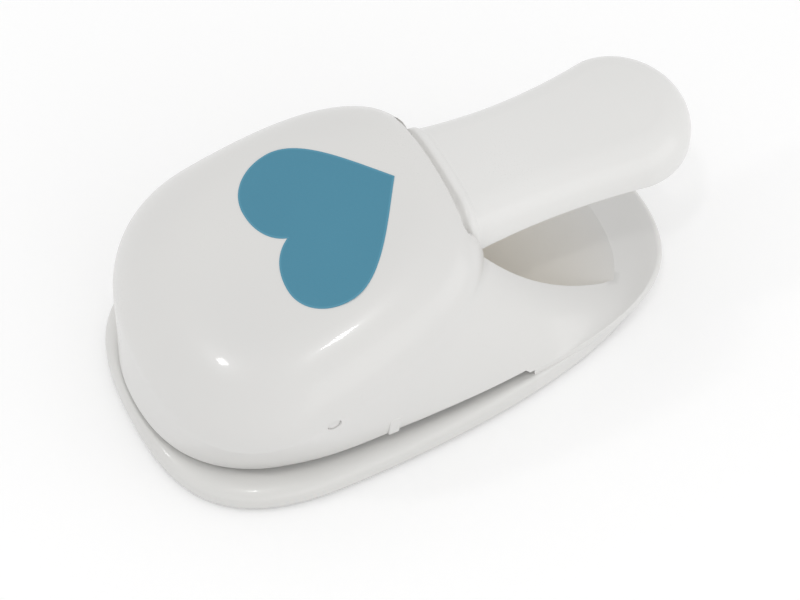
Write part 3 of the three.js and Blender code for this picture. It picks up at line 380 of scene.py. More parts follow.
def new_finish(name, constants):
    """A material with its fixed values on the shader, and the place on the object."""
    finish = bpy.data.materials.new(name)
    finish.use_nodes = True
    shader = finish.node_tree.nodes["Principled BSDF"]
    for key, value in constants.items():
        shader.inputs[key].default_value = value
    texture_place = finish.node_tree.nodes.new("ShaderNodeTexCoord")
    return finish, shader, Socket(finish.node_tree, texture_place.outputs["Object"])


def dress(shader, colour, roughness):
    join(colour, shader.inputs["Base Color"])
    join(roughness, shader.inputs["Roughness"])


def emboss(shader, pattern, strength, depth):
    inputs = {"Strength": strength, "Distance": depth * MM, "Height": pattern}
    join(pattern.make("ShaderNodeBump", {}, inputs), shader.inputs["Normal"])


def moulded_plastic(name, colour, deeper, roughness, coat):
    """Glossy moulding: faint drift in tone, a soft orange peel and fine mould grain."""
    fixed = {"IOR": 1.5, "Coat Roughness": 0.06, "Coat IOR": 1.5}
    finish, shader, place = new_finish(name, fixed)
    drift = noise(place, SHELL_DRIFT)
    peel = noise(place, SHELL_PEEL)
    grain = noise(place, SHELL_GRAIN, FINE_DETAIL)
    worn = roughness + swing(grain, reach=0.1) + swing(drift, reach=0.08)
    dress(shader, tone(drift, colour, deeper, spread=0.2), worn)
    join(coat + swing(drift, reach=0.1), shader.inputs["Coat Weight"])
    surface = peel * PEEL_SHARE + grain * (1 - PEEL_SHARE)
    emboss(shader, surface, strength=0.12, depth=SHELL_BUMP)
    return finish


def recess_plastic_with_painted_shade(name, near_head, near_tail):
    """The same moulding where the tool left it duller. Painted warm shade sits low down beside the
    head under the lever. It is lightened there as painted light against the lever's shadow and fades
    to plain white towards the tail.
    """
    finish, shader, place = new_finish(name, {"IOR": 1.5, "Coat Weight": 0.1, "Coat Roughness": 0.4})
    drift = noise(place, RECESS_DRIFT)
    grain = noise(place, RECESS_GRAIN, FINE_DETAIL)
    warm = in_frame((0, RECESS_WARM_STATION, RECESS_WARM_HEIGHT))
    plain = in_frame((0, RECESS_PLAIN_STATION, RECESS_PLAIN_HEIGHT))
    fading = swing(drift, reach=0.15)
    for axis in (1, 2):
        along_axis = place.make("ShaderNodeSeparateXYZ", {}, {"Vector": place}, axis)
        fading = ramp(along_axis, warm[axis], plain[axis]) + fading
    worn = RECESS_ROUGHNESS + swing(grain, reach=0.14)
    dress(shader, blend(fading, near_head, near_tail), worn)
    emboss(shader, grain, strength=0.25, depth=RECESS_BUMP)
    return finish


def matte_plastic(name, colour, deeper):
    finish, shader, place = new_finish(name, {"IOR": 1.48})
    spark = noise(place, MATTE_SPARK, FINEST_DETAIL)
    drift = noise(place, MATTE_DRIFT)
    worn = MATTE_ROUGHNESS + swing(spark, reach=0.2)
    dress(shader, tone(drift, colour, deeper, spread=0.15), worn)
    emboss(shader, spark, strength=0.5, depth=MATTE_BUMP)
    return finish


def printed_ink(name, ink, deeper, rim):
    """Screen-printed colour with a paler line round its edge, which an attribute marks."""
    finish, shader, place = new_finish(name, {"IOR": 1.46, "Coat Weight": 0.3, "Coat Roughness": 0.2})
    edge = place.make("ShaderNodeAttribute", {"attribute_name": "edge_line"}, {}, "Fac")
    mesh = noise(place, INK_MESH, FINE_DETAIL)
    drift = noise(place, INK_DRIFT) + swing(mesh, reach=0.4)
    body = tone(drift, ink, deeper, spread=0.25)
    worn = INK_ROUGHNESS + swing(mesh, reach=0.16)
    dress(shader, blend(edge, body, rim), worn)
    emboss(shader, mesh, strength=0.15, depth=INK_BUMP)
    return finish


def drawn_steel(name, colour, deeper, roughness):
    """Sheet or turned steel with fine lines along its length."""
    finish, shader, place = new_finish(name, {"Metallic": 1.0, "Anisotropic": 0.3})
    stretched = place.make("ShaderNodeMapping", {}, {"Vector": place, "Scale": STEEL_STRETCH})
    lines = noise(stretched, 1.0, FINEST_DETAIL)
    patina = noise(place, STEEL_PATINA, FINE_DETAIL)
    worn = roughness + swing(lines, reach=0.2)
    dress(shader, tone(patina, colour, deeper, spread=0.2), worn)
    emboss(shader, lines, strength=0.3, depth=STEEL_BUMP)
    return finish


def foot_rubber(name, colour, deeper):
    finish, shader, place = new_finish(name, {"IOR": 1.5, "Sheen Weight": 0.15})
    pores = noise(place, RUBBER_PORES, FINEST_DETAIL)
    worn = RUBBER_ROUGHNESS + swing(pores, reach=0.15)
    dress(shader, tone(pores, colour, deeper, spread=0.2), worn)
    emboss(shader, pores, strength=0.6, depth=RUBBER_BUMP)
    return finish


SHELL_WHITE = moulded_plastic(
    "shell_white", colour=(0.755, 0.748, 0.73, 1), deeper=(0.735, 0.729, 0.715, 1),
    roughness=0.3, coat=0.35,
)
# The shell's white painted lighter on the lever: painted light for the brighter light the lever
# catches
LEVER_LIT_WHITE = moulded_plastic(
    "lever_lit_white", colour=(0.8, 0.795, 0.78, 1), deeper=(0.785, 0.78, 0.765, 1),
    roughness=0.3, coat=0.3,
)
JAW_WHITE = moulded_plastic(
    "jaw_white", colour=(0.74, 0.735, 0.715, 1), deeper=(0.72, 0.714, 0.695, 1),
    roughness=0.32, coat=0.3,
)
# Painted warm shade under the lever by the head, lightened as painted light, fading to plain white
# towards the tail
RECESS_PAINTED_SHADE = recess_plastic_with_painted_shade(
    "recess_painted_shade", near_head=(0.95, 0.885, 0.765, 1), near_tail=(0.76, 0.75, 0.73, 1),
)
SLOT_SHADE = matte_plastic(
    "slot_shade", colour=(0.17, 0.165, 0.15, 1), deeper=(0.14, 0.135, 0.125, 1),
)
INNER_GREY = matte_plastic(
    "inner_grey", colour=(0.1, 0.115, 0.135, 1), deeper=(0.085, 0.1, 0.12, 1),
)
HEART_INK = printed_ink(
    "heart_ink", ink=(0.05, 0.245, 0.358, 1), deeper=(0.045, 0.232, 0.342, 1),
    rim=(0.07, 0.28, 0.4, 1),
)
TOOL_STEEL = drawn_steel(
    "tool_steel", colour=(0.27, 0.275, 0.29, 1), deeper=(0.23, 0.235, 0.25, 1), roughness=0.3,
)
ZINC_STEEL = drawn_steel(
    "zinc_steel", colour=(0.47, 0.48, 0.5, 1), deeper=(0.41, 0.42, 0.45, 1), roughness=0.36,
)
FOOT_GREY = foot_rubber(
    "foot_grey", colour=(0.32, 0.32, 0.31, 1), deeper=(0.27, 0.27, 0.26, 1),
)
SLOT_FINISHES = {
    "casing_plastic": SHELL_WHITE,
    "jaw_plastic": JAW_WHITE,
    "inner_plastic": INNER_GREY,
    "teal_print": HEART_INK,
    "hardened_steel": TOOL_STEEL,
    "plain_steel": ZINC_STEEL,
    "foot_rubber": FOOT_GREY,
}


# Outlines seen from above


def curve(points, steps):
    """A cubic curve from its end points and the two points that steer it."""
    share = np.linspace(0, 1, steps + 1)[:, None]
    start, leaving, arriving, end = np.array(points, float)
    rest = 1 - share
    near = start * rest ** 3 + 3 * leaving * rest ** 2 * share
    return near + 3 * arriving * rest * share ** 2 + end * share ** 3


def mirrored(right):
    left = right[1:-1][::-1] * [-1, 1]
    return np.concatenate([right, left])


def egg(front, half_width, widest, nose, cheek, hip, tail, rear):
    """A rounded outline. Nose, cheek, hip and tail say how full it is at its four turns."""
    nose_points = [(0, front), (nose, front), (half_width, widest - cheek), (half_width, widest)]
    tail_points = [(half_width, widest), (half_width, widest + hip), (tail, rear), (0, rear)]
    nose_side = curve(nose_points, NOSE_STEPS)
    tail_side = curve(tail_points, TAIL_STEPS)
    return mirrored(np.concatenate([nose_side, tail_side[1:]]))


def inset(outline, distance):
    """An outline drawn in by a distance, or out where it is below zero."""
    along = np.roll(outline, -1, axis=0) - np.roll(outline, 1, axis=0)
    along = along / np.linalg.norm(along, axis=1, keepdims=True)
    return outline + distance * np.stack([-along[:, 1], along[:, 0]], axis=1)


def between(first, second, share):
    return first + (second - first) * share


def level(outline, heights):
    raised = np.broadcast_to(np.asarray(heights, float), len(outline))
    return np.column_stack([outline, raised])


CASING = egg(
    front=CASING_FRONT,
    half_width=CASING_HALF_WIDTH,
    widest=CASING_WIDEST,
    nose=CASING_NOSE,
    cheek=CASING_CHEEK,
    hip=(BODY_LENGTH - CASING_WIDEST) * CASING_HIP_SHARE,
    tail=CASING_TAIL,
    rear=BODY_LENGTH,
)
CROWN = egg(
    front=CROWN_FRONT,
    half_width=CROWN_HALF_WIDTH - VISUAL_CLEARANCE,
    widest=CROWN_WIDEST,
    nose=CROWN_NOSE,
    cheek=CROWN_CHEEK,
    hip=CROWN_HIP,
    tail=CROWN_TAIL,
    rear=CROWN_REAR,
)
JAW = egg(
    front=VISUAL_CLEARANCE,
    half_width=JAW_HALF_WIDTH - VISUAL_CLEARANCE,
    widest=JAW_WIDEST,
    nose=JAW_NOSE,
    cheek=JAW_CHEEK,
    hip=(BODY_LENGTH - JAW_WIDEST) * JAW_HIP_SHARE,
    tail=JAW_TAIL,
    rear=BODY_LENGTH,
)


def top_height(station):
    """The top rises as a plane and falls away behind it."""
    past = np.maximum(0, station - TOP_PLANE_END)
    return TOP_FRONT_HEIGHT + TOP_SLOPE_SHARE * station - past * past / TOP_DROP_RUN


def drawn_in(outline, share):
    """The crown's outline on its way to the edge of the top."""
    width = 1 - share * SHOULDER_REACH / CROWN_HALF_WIDTH
    length = 1 - share * SHOULDER_REACH / (CROWN_REAR - PLATEAU_CENTRE)
    stations = PLATEAU_CENTRE + (outline[:, 1] - PLATEAU_CENTRE) * length
    return np.column_stack([outline[:, 0] * width, stations])


# Meshes from stacked rings


def new_piece(name, points, faces, finish):
    mesh = bpy.data.meshes.new(name)
    mesh.from_pydata(in_frame(points).tolist(), [], faces)
    mesh.materials.append(finish)
    piece = bpy.data.objects.new(name, mesh)
    bpy.context.scene.collection.objects.link(piece)
    return piece


def across(start, count):
    """Faces that close a ring in strips from its right side to its left."""
    faces = []
    for step in range(count // 2):
        corners = [step, step + 1, count - step - 1, (count - step) % count]
        faces.append(list(dict.fromkeys(start + corner for corner in corners)))
    return faces


def skin(name, rings, finish, flat_ends=False):
    """A closed mesh over stacked rings, its two ends closed in strips or by one face each."""
    count = len(rings[0])
    points = np.concatenate(rings)
    last = len(points) - count

    def end(start):
        return [tuple(range(start, start + count))] if flat_ends else across(start, count)

    faces = [tuple(reversed(face)) for face in end(0)]
    for low in range(0, last, count):
        for step in range(count):
            ahead = (step + 1) % count
            faces.append((low + step, low + ahead, low + count + ahead, low + count + step))
    faces += end(last)
    return new_piece(name, points, faces, finish)


def select(piece):
    bpy.ops.object.select_all(action="DESELECT")
    piece.select_set(True)
    bpy.context.view_layer.objects.active = piece


def keep_new(name, finish):
    """Name the primitive just added, settle its place into its mesh and give it a finish."""
    piece = bpy.context.active_object
    piece.name = name
    bpy.ops.object.transform_apply(location=True, rotation=True, scale=True)
    piece.data.materials.append(finish)
    return piece


def block(name, low, high, finish):
    lowest, highest = in_frame(low), in_frame(high)
    bpy.ops.object.select_all(action="DESELECT")
    bpy.ops.mesh.primitive_cube_add(size=1, location=(lowest + highest) / 2)
    bpy.context.active_object.scale = highest - lowest
    return keep_new(name, finish)


def rod(name, left, right, station, centre_height, radius, finish):
    middle = in_frame(((left + right) / 2, station, centre_height))
    bpy.ops.object.select_all(action="DESELECT")
    bpy.ops.mesh.primitive_cylinder_add(
        vertices=ROUND_SIDES, radius=radius * MM, depth=(right - left) * MM,
        location=middle, rotation=(0, math.pi / 2, 0),
    )
    return keep_new(name, finish)


def apply_modifier(piece, kind, settings):
    select(piece)
    step = piece.modifiers.new(kind.lower(), kind)
    for name, value in settings.items():
        setattr(step, name, value)
    bpy.ops.object.modifier_apply(modifier=step.name)


def combine(piece, tool, operation):
    apply_modifier(piece, "BOOLEAN", {
        "operation": operation, "solver": "EXACT", "object": tool, "material_mode": "TRANSFER",
    })
    bpy.data.objects.remove(tool)


def cut(piece, *tools):
    for tool in tools:
        combine(piece, tool, "DIFFERENCE")


# Softened edges


def is_seam(edge):
    """A cut edge: two finishes meet there at an angle."""
    if len(edge.link_faces) != 2:
        return False
    one, other = edge.link_faces
    return one.material_index != other.material_index and edge.calc_face_angle() > SEAM_ANGLE


def clear_seams(mesh):
    """Draw points that crowd a cut edge into it, so that its bevel has room."""
    on_seam = {vert for edge in mesh.edges if is_seam(edge) for vert in edge.verts}
    targets = {}
    for edge in mesh.edges:
        first, second = edge.verts
        crowded = edge.calc_length() < SEAM_ROOM * MM
        if crowded and (first in on_seam) != (second in on_seam):
            seam_vert, loose = (first, second) if first in on_seam else (second, first)
            targets.setdefault(loose, seam_vert)
    bmesh.ops.weld_verts(mesh, targetmap=targets)
    taken = set()
    targets = {}
    for edge in [edge for edge in mesh.edges if is_seam(edge)]:
        if edge.calc_length() < SEAM_STEP * MM and not taken.intersection(edge.verts):
            targets[edge.verts[0]] = edge.verts[1]
            taken.update(edge.verts)
    bmesh.ops.weld_verts(mesh, targetmap=targets)
    bmesh.ops.dissolve_degenerate(mesh, edges=mesh.edges, dist=WELD * MM)


def is_corner(vert):
    """Where cut edges meet, end or turn sharply they stay crisp."""
    seams = [edge for edge in vert.link_edges if is_seam(edge)]
    if len(seams) != 2:
        return True
    first, second = [edge.other_vert(vert).co - vert.co for edge in seams]
    return first.angle(-second, 0.0) > SEAM_TURN


def soften_seams(piece, width):
    mesh = bmesh.new()
    mesh.from_mesh(piece.data)
    bmesh.ops.remove_doubles(mesh, verts=mesh.verts, dist=WELD * MM)
    clear_seams(mesh)
    weight = mesh.edges.layers.float.new("bevel_weight_edge")
    for edge in mesh.edges:
        edge[weight] = float(is_seam(edge) and not any(map(is_corner, edge.verts)))
    mesh.to_mesh(piece.data)
    mesh.free()
    apply_modifier(piece, "BEVEL", {
        "limit_method": "WEIGHT", "width": width * MM, "segments": BEVEL_SEGMENTS,
        "use_clamp_overlap": False,
    })


def smooth(piece):
    select(piece)
    bpy.ops.object.shade_smooth_by_angle(angle=SMOOTH_ANGLE)
    apply_modifier(piece, "WEIGHTED_NORMAL", {"keep_sharp": True})


def settle(piece, body, slot, *nodes):
    """Finish a piece, put it on its body and let it stand for its nodes."""
    smooth(piece)
    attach(piece, body)
    if nodes:
        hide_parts(*nodes)


# Casing over the punch and its tail


def skirt_rings():
    """From the table up to the slot: a tucked foot, an upright side and a rounded lip."""
    rings = [
        level(inset(JAW, FOOT_TUCK), UNDERSIDE),
        level(inset(JAW, FOOT_TUCK * FOOT_BEND_SHARE), UNDERSIDE + FOOT_RISE * FOOT_BEND_SHARE),
        level(JAW, UNDERSIDE + FOOT_RISE),
        level(JAW, JAW_SHOULDER),
    ]
    for angle in np.linspace(0, math.pi / 2, SLOPE_STEPS + 1)[1:]:
        lip = between(JAW, CASING, 1 - math.cos(angle))
        rings.append(level(lip, between(JAW_SHOULDER, JAW_TOP, math.sin(angle))))
    return rings


def rise_power(station):
    """The head's own walls stand almost straight, while the tail sweeps up to the head."""
    back = np.clip((station - CASING_WIDEST) / (BODY_LENGTH - CASING_WIDEST), 0, 1)
    return between(HEAD_POWER_SHARE, TAIL_POWER_SHARE, back * (2 - back))


def rise(foot, crown, floor, share):
    """A ring of the wall between the foot outline and the crown."""
    wall_top = top_height(CROWN[:, 1]) - SHOULDER_DROP
    lift = share ** rise_power(CASING[:, 1])
    return level(between(foot, crown, share), between(floor, wall_top, lift))


def shoulder(crown, thickness, angle):
    """A ring of the round between the crown and the top."""
    outline = drawn_in(crown, 1 - math.cos(angle))
    drop = (SHOULDER_DROP - thickness) * (1 - math.sin(angle))
    return level(outline, top_height(outline[:, 1]) - thickness - drop)


def casing_skin():
    rim_share = RIM_ROUND / (BODY_LENGTH - CROWN_REAR)
    rings = skirt_rings()
    for angle in np.linspace(0, math.pi / 2, SLOPE_STEPS)[1:-1]:
        rim = between(CASING, CROWN, rim_share * (1 - math.cos(angle)))
        rings.append(level(rim, between(JAW_TOP, HEAD_BOTTOM, math.sin(angle))))
    for share in np.linspace(rim_share, 1, RISE_STEPS):
        rings.append(rise(CASING, CROWN, HEAD_BOTTOM, share))
    for angle in np.linspace(0, math.pi / 2, SHOULDER_STEPS + 1)[1:]:
        rings.append(shoulder(CROWN, 0, angle))
    plateau = rings[-1][:, :2]
    for share in TOP_SHARES:
        inner = between(np.array([0, PLATEAU_CENTRE]), plateau, share)
        rings.append(level(inner, top_height(inner[:, 1])))
    return skin("casing", rings, SHELL_WHITE)


def skirt_fill():
    """What keeps the tail's skirt thick where the foot's outline runs inside the casing's."""
    low = (-FAR_OUT, SLOT_END, -FAR_OUT)
    high = (FAR_OUT, FAR_OUT + OVERRUN, JAW_TOP)
    fill = block("skirt_fill", low, high, SHELL_WHITE)
    within = inset(JAW, SKIRT_WALL)
    rings = [level(within, -2 * FAR_OUT), level(within, FAR_OUT)]
    cut(fill, skin("within_skirt", rings, SHELL_WHITE))
    return fill


def casing_hollow():
    foot = inset(CASING, WALL)
    crown = inset(CROWN, WALL)
    floor = HEAD_BOTTOM - WALL
    rings = [level(foot, -OVERRUN), rise(foot, crown, floor, 0)]
    for share in np.linspace(0, 1, HOLLOW_STEPS)[1:]:
        rings.append(rise(foot, crown, floor, share))
    for angle in np.linspace(0, math.pi / 2, HOLLOW_STEPS)[1:]:
        rings.append(shoulder(crown, WALL, angle))
    hollow = skin("casing_hollow", rings, INNER_GREY)
    liner = WELL_HALF_WIDTH + WALL
    cut(
        hollow,
        skirt_fill(),
        block(
            "under_well",
            (-liner, SLOT_END, WELL_FLOOR - WALL),
            (liner, FAR_OUT, FAR_OUT),
            INNER_GREY,
        ),
        block(
            "behind_head",
            (-liner, WELL_FRONT_CORNER - WALL, WELL_WALL_BOTTOM),
            (liner, SLOT_END, FAR_OUT),
            INNER_GREY,
        ),
        block(
            "behind_slot",
            (-FAR_OUT, SLOT_END, HOLLOW_TOP),
            (FAR_OUT, SLOT_END + WALL, HEAD_BOTTOM),
            INNER_GREY,
        ),
    )
    return hollow


def slot_tool():
    """The paper slot, with its inner upper corner rounded."""
    corner = curve(
        [
            (SLOT_END, HEAD_BOTTOM - SLOT_CORNER),
            (SLOT_END, HEAD_BOTTOM - SLOT_CORNER / 2),
            (SLOT_END - SLOT_CORNER / 2, HEAD_BOTTOM),
            (SLOT_END - SLOT_CORNER, HEAD_BOTTOM),
        ],
        SLOPE_STEPS,
    )
    profile = [(-OVERRUN, -OVERRUN), (SLOT_END, -OVERRUN), *corner, (-OVERRUN, HEAD_BOTTOM)]
    points = [(x, station, z) for x in (FAR_OUT, -FAR_OUT) for station, z in profile]
    count = len(profile)
    faces = [tuple(range(count)), tuple(reversed(range(count, 2 * count)))]
    for step in range(count):
        ahead = (step + 1) % count
        faces.append((step, step + count, ahead + count, ahead))
    return new_piece("slot_tool", points, faces, SHELL_WHITE)


def slot_mouth():
    """The slot's lead-in under the head's wall, which grows from the front to the slot's end.

    Its roof slopes up over twice MOUTH_DEPTH, so half way, at the wall, it has risen by the lift.
    """
    station = CASING[:, 1]
    growth = np.clip((station - MOUTH_START) / (MOUTH_FULL - MOUTH_START), 0, 1)
    near_end = np.clip((station - SLOT_END + MOUTH_ROUND) / MOUTH_ROUND, 0, 1)
    lift = MOUTH_RISE * growth * np.sqrt(1 - near_end ** 2)
    outer, inner = inset(CASING, -MOUTH_DEPTH), inset(CASING, MOUTH_DEPTH)
    rings = [
        level(outer, JAW_TOP + MOUTH_PLAY),
        level(outer, HEAD_BOTTOM - MOUTH_PLAY + 2 * lift),
        level(inner, HEAD_BOTTOM - MOUTH_PLAY),
    ]
    mouth = skin("slot_mouth", rings, SHELL_WHITE)
    low = (-FAR_OUT, -OVERRUN, 0)
    high = (FAR_OUT, SLOT_END - MOUTH_PLAY, FAR_OUT)
    combine(mouth, block("beside_slot", low, high, SHELL_WHITE), "INTERSECT")
    return mouth


def front_bow(x):
    """How far the well's front stands back: half the bow of the point that pulls its curve."""
    return WELL_FRONT_BOW / 2 * (1 - (x / WELL_HALF_WIDTH) ** 2)


def well_tool():
    """The room that the lever sinks into, with its bowed front and rounded corners."""
    reach = WELL_HALF_WIDTH - WELL_CORNER
    x = np.linspace(0, reach, NOSE_STEPS)
    front = np.column_stack([x, WELL_FRONT_CORNER + front_bow(x)])
    corner = curve(
        [
            front[-1],
            front[-1] + [WELL_CORNER / 2, 0],
            (WELL_HALF_WIDTH, WELL_FRONT_CORNER + WELL_CORNER / 2),
            (WELL_HALF_WIDTH, WELL_FRONT_CORNER + WELL_CORNER),
        ],
        WELL_CORNER_STEPS,
    )
    rear = np.array([(WELL_HALF_WIDTH, FAR_OUT), (0, FAR_OUT)])
    outline = mirrored(np.concatenate([front, corner[1:], rear]))
    return skin("well_tool", [level(outline, WELL_FLOOR), level(outline, FAR_OUT)], RECESS_PAINTED_SHADE)


def build_casing():
    casing = casing_skin()
    passage = ARM_HALF_WIDTH + ARM_PASSAGE
    cut(
        casing,
        casing_hollow(),
        slot_mouth(),
        slot_tool(),
        well_tool(),
        block(
            "arm_passage",
            (-passage, WELL_FRONT_CORNER - WALL, GUIDE_TOP),
            (passage, SLOT_END, ARM_TOP + ARM_PASSAGE),
            INNER_GREY,
        ),
        rod(
            "pin_bore", -FAR_OUT, FAR_OUT, FULCRUM_STATION, FULCRUM_HEIGHT,
            PIN_RADIUS + GAP, SHELL_WHITE,
        ),
    )
    soften_seams(casing, SEAM_SOFTNESS)
    settle(casing, "housing", "casing_plastic", "head_cover")


# Jaw under the slot


def plate_pocket():
    """The room for the die plate, within the casing's outline."""
    rim = inset(CASING, PLATE_RIM)
    pocket = skin("plate_pocket", [level(rim, DIE_BOTTOM), level(rim, FAR_OUT)], SLOT_SHADE)
    side = PLATE_HALF_WIDTH + GAP
    low = (-side, PLATE_FRONT - GAP, 0)
    high = (side, SLOT_END + OVERRUN, FAR_OUT)
    combine(pocket, block("plate_room", low, high, SLOT_SHADE), "INTERSECT")
    return pocket


def build_jaw():
    rings = skirt_rings()
    lip = rings[-1][:, :2]
    rings.append(level(inset(lip, RIM_ROUND), JAW_TOP))
    jaw = skin("jaw", rings, JAW_WHITE)
    hollow_rim = inset(CASING, WALL)
    hollow_rings = [level(hollow_rim, -OVERRUN), level(hollow_rim, HOLLOW_TOP)]
    cut(
        jaw,
        block(
            "behind_jaw",
            (-FAR_OUT, SLOT_END, -OVERRUN),
            (FAR_OUT, FAR_OUT, FAR_OUT),
            JAW_WHITE,
        ),
        skin("jaw_hollow", hollow_rings, JAW_WHITE),
        plate_pocket(),
        block(
            "chip_opening",
            (-CHIP_HALF_WIDTH, CHIP_FRONT, -OVERRUN),
            (CHIP_HALF_WIDTH, CHIP_REAR, FAR_OUT),
            JAW_WHITE,
        ),
        block(
            "rivet_room",
            (-CHIP_HALF_WIDTH, CHIP_REAR, 0),
            (CHIP_HALF_WIDTH, SLOT_END + OVERRUN, DIE_BOTTOM + GAP),
            JAW_WHITE,
        ),
    )
    settle(jaw, "housing", "jaw_plastic", "jaw_shell")


# Raised lines on both sides that show the heart's middle


def wall_at(wanted_height):
    """How far out the casing's side stands at a height above the slot, by the heart's middle."""
    nearest = np.argmin(np.abs(CASING[:len(CASING) // 2, 1] - DIE_CENTRE))
    foot = CASING[nearest, 0]
    crown_side = CROWN[:len(CROWN) // 2]
    crown = np.interp(DIE_CENTRE, crown_side[:, 1], crown_side[:, 0])
    wall_top = top_height(DIE_CENTRE) - SHOULDER_DROP
    share = ((wanted_height - HEAD_BOTTOM) / (wall_top - HEAD_BOTTOM)) ** (1 / HEAD_POWER_SHARE)
    return between(foot, crown, share)


def build_marks():
    heights = np.linspace(MARK_BOTTOM, MARK_TOP, SLOPE_STEPS)
    rings = []
    for mark_height in heights:
        face = wall_at(mark_height)
        near, far = DIE_CENTRE - MARK_WIDTH / 2, DIE_CENTRE + MARK_WIDTH / 2
        corners = np.array([
            (face - MARK_ROOT, near), (face + MARK_PROUD, near),
            (face + MARK_PROUD, far), (face - MARK_ROOT, far),
        ])
        rings.append(level(corners, mark_height))
    for side, name in ((1, "centre_mark_right"), (-1, "centre_mark_left")):
        placed = [ring * [side, 1, 1] for ring in rings]
        if side < 0:
            placed = [ring[::-1] for ring in placed]
        mark = skin(name, placed, SHELL_WHITE)
        apply_modifier(mark, "BEVEL", {
            "limit_method": "ANGLE", "angle_limit": SEAM_ANGLE,
            "width": MARK_SOFTNESS * MM, "segments": BEVEL_SEGMENTS,
        })
        settle(mark, "housing", "casing_plastic")


# Plugs over the ends of the lever's pin


def build_plugs():
    for side, name in ((1, "right"), (-1, "left")):
        node = f"pin_cap_{name}"
        lowest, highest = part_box(node)
        ends = sorted((lowest.x / MM, highest.x / MM))
        radius = PIN_RADIUS + GAP - PLUG_PLAY
        plug = rod(f"pin_plug_{name}", *ends, FULCRUM_STATION, FULCRUM_HEIGHT, radius, SHELL_WHITE)
        apply_modifier(plug, "BEVEL", {
            "limit_method": "ANGLE", "angle_limit": PLUG_ANGLE,
            "width": PLUG_SOFTNESS * MM, "segments": PLUG_SEGMENTS,
        })
        settle(plug, "housing", "casing_plastic", node)


# Printed heart on the sloping top


def heart_outline():
    """The heart about the middle between its lobes' ends, from three curves and their mirror."""
    right = np.concatenate([
        curve(piece, HEART_STEPS)[0 if row == 0 else 1:]
        for row, piece in enumerate(HEART_HALF_SHARES)
    ])
    right = right * [DECAL_WIDTH / 2, DECAL_LENGTH]
    right[:, 1] -= LOBE_END_SHARE * DECAL_LENGTH
    return mirrored(right)


def build_heart():
    outer = heart_outline()
    inner = inset(outer, DECAL_RIM)
    inner[0, 0] = 0
    inner[len(inner) // 2, 0] = 0
    slope = math.atan(TOP_SLOPE_SHARE)
    rings = [
        level(inset(outer, DECAL_RIM * DECAL_TUCK_SHARE), -DECAL_SUNK),
        level(outer, 0),
        level(outer, DECAL_PROUD * DECAL_SIDE_SHARE),
        level(inset(outer, DECAL_PROUD), DECAL_PROUD),
        level(inner, DECAL_PROUD),
        level(inset(inner, WELD), DECAL_PROUD),
    ]
    lean = np.array([
        [1, 0, 0],
        [0, math.cos(slope), math.sin(slope)],
        [0, -math.sin(slope), math.cos(slope)],
    ])
    middle = DIE_CENTRE - DECAL_FORWARD
    seat = [0, middle, top_height(middle)]
    leaning = [ring @ lean + seat for ring in rings]
    heart = skin("printed_heart", leaning, HEART_INK, flat_ends=True)
    edge_line = heart.data.attributes.new("edge_line", "FLOAT", "POINT")
    points_before_middle = len(outer) * (len(rings) - 1)
    for index, value in enumerate(edge_line.data):
        value.value = float(index < points_before_middle)
    settle(heart, "housing", "teal_print", "heart_decal")


# Lever's grip: a shell over the steel arm, with a raised collar by the head


def grip_side():
    """The grip's outline from above, which starts ahead of the well's front."""
    lead = WELL_FRONT_CORNER - GRIP_LEAD
    ahead_of_front = np.array([(0, lead), (GRIP_COLLAR_HALF_WIDTH, lead)])
    waist = curve(
        [
            (GRIP_COLLAR_HALF_WIDTH, WELL_FRONT_CORNER),
            (GRIP_WAIST_HALF_WIDTH, GRIP_WAIST_STATION - GRIP_CORNER),
            (GRIP_WAIST_HALF_WIDTH, GRIP_WAIST_STATION + GRIP_CORNER),
            (GRIP_BULB_HALF_WIDTH, GRIP_BULB_STATION),
        ],
        GRIP_STEPS,
    )
    swollen = GRIP_BULB_HALF_WIDTH + GRIP_BULB_SWELL
    rear = OVERALL_LENGTH - VISUAL_CLEARANCE
    end = curve(
        [
            (GRIP_BULB_HALF_WIDTH, GRIP_BULB_STATION),
            (swollen, GRIP_BULB_STATION + GRIP_PALM_LENGTH * GRIP_END_SHARE),
            (GRIP_BULB_HALF_WIDTH * GRIP_END_SHARE, rear),
            (0, rear),
        ],
        GRIP_STEPS,
    )
    return mirrored(np.concatenate([ahead_of_front, waist, end[1:]]))


def ridge(behind_front):
    """Height of the collar's groove and ridge at a distance behind the grip's front."""
    across_share = np.clip(2 * (behind_front - GROOVE_WIDTH) / COLLAR_WIDTH - 1, -1, 1)
    groove_share = np.clip(behind_front / GROOVE_WIDTH, 0, 1)
    crest = COLLAR_PROUD * (1 - np.abs(across_share) ** CREST_POWER)
    return crest - GROOVE_DEPTH * (1 - groove_share ** 2)


def grip_height(station):
    """The top's height, which dips between the collar and the palm."""
    run = GRIP_BULB_STATION - WELL_FRONT_CORNER
    dip_share = np.sin(np.pi * np.clip((station - WELL_FRONT_CORNER) / run, 0, 1))
    return GRIP_TOP - GRIP_DIP * dip_share


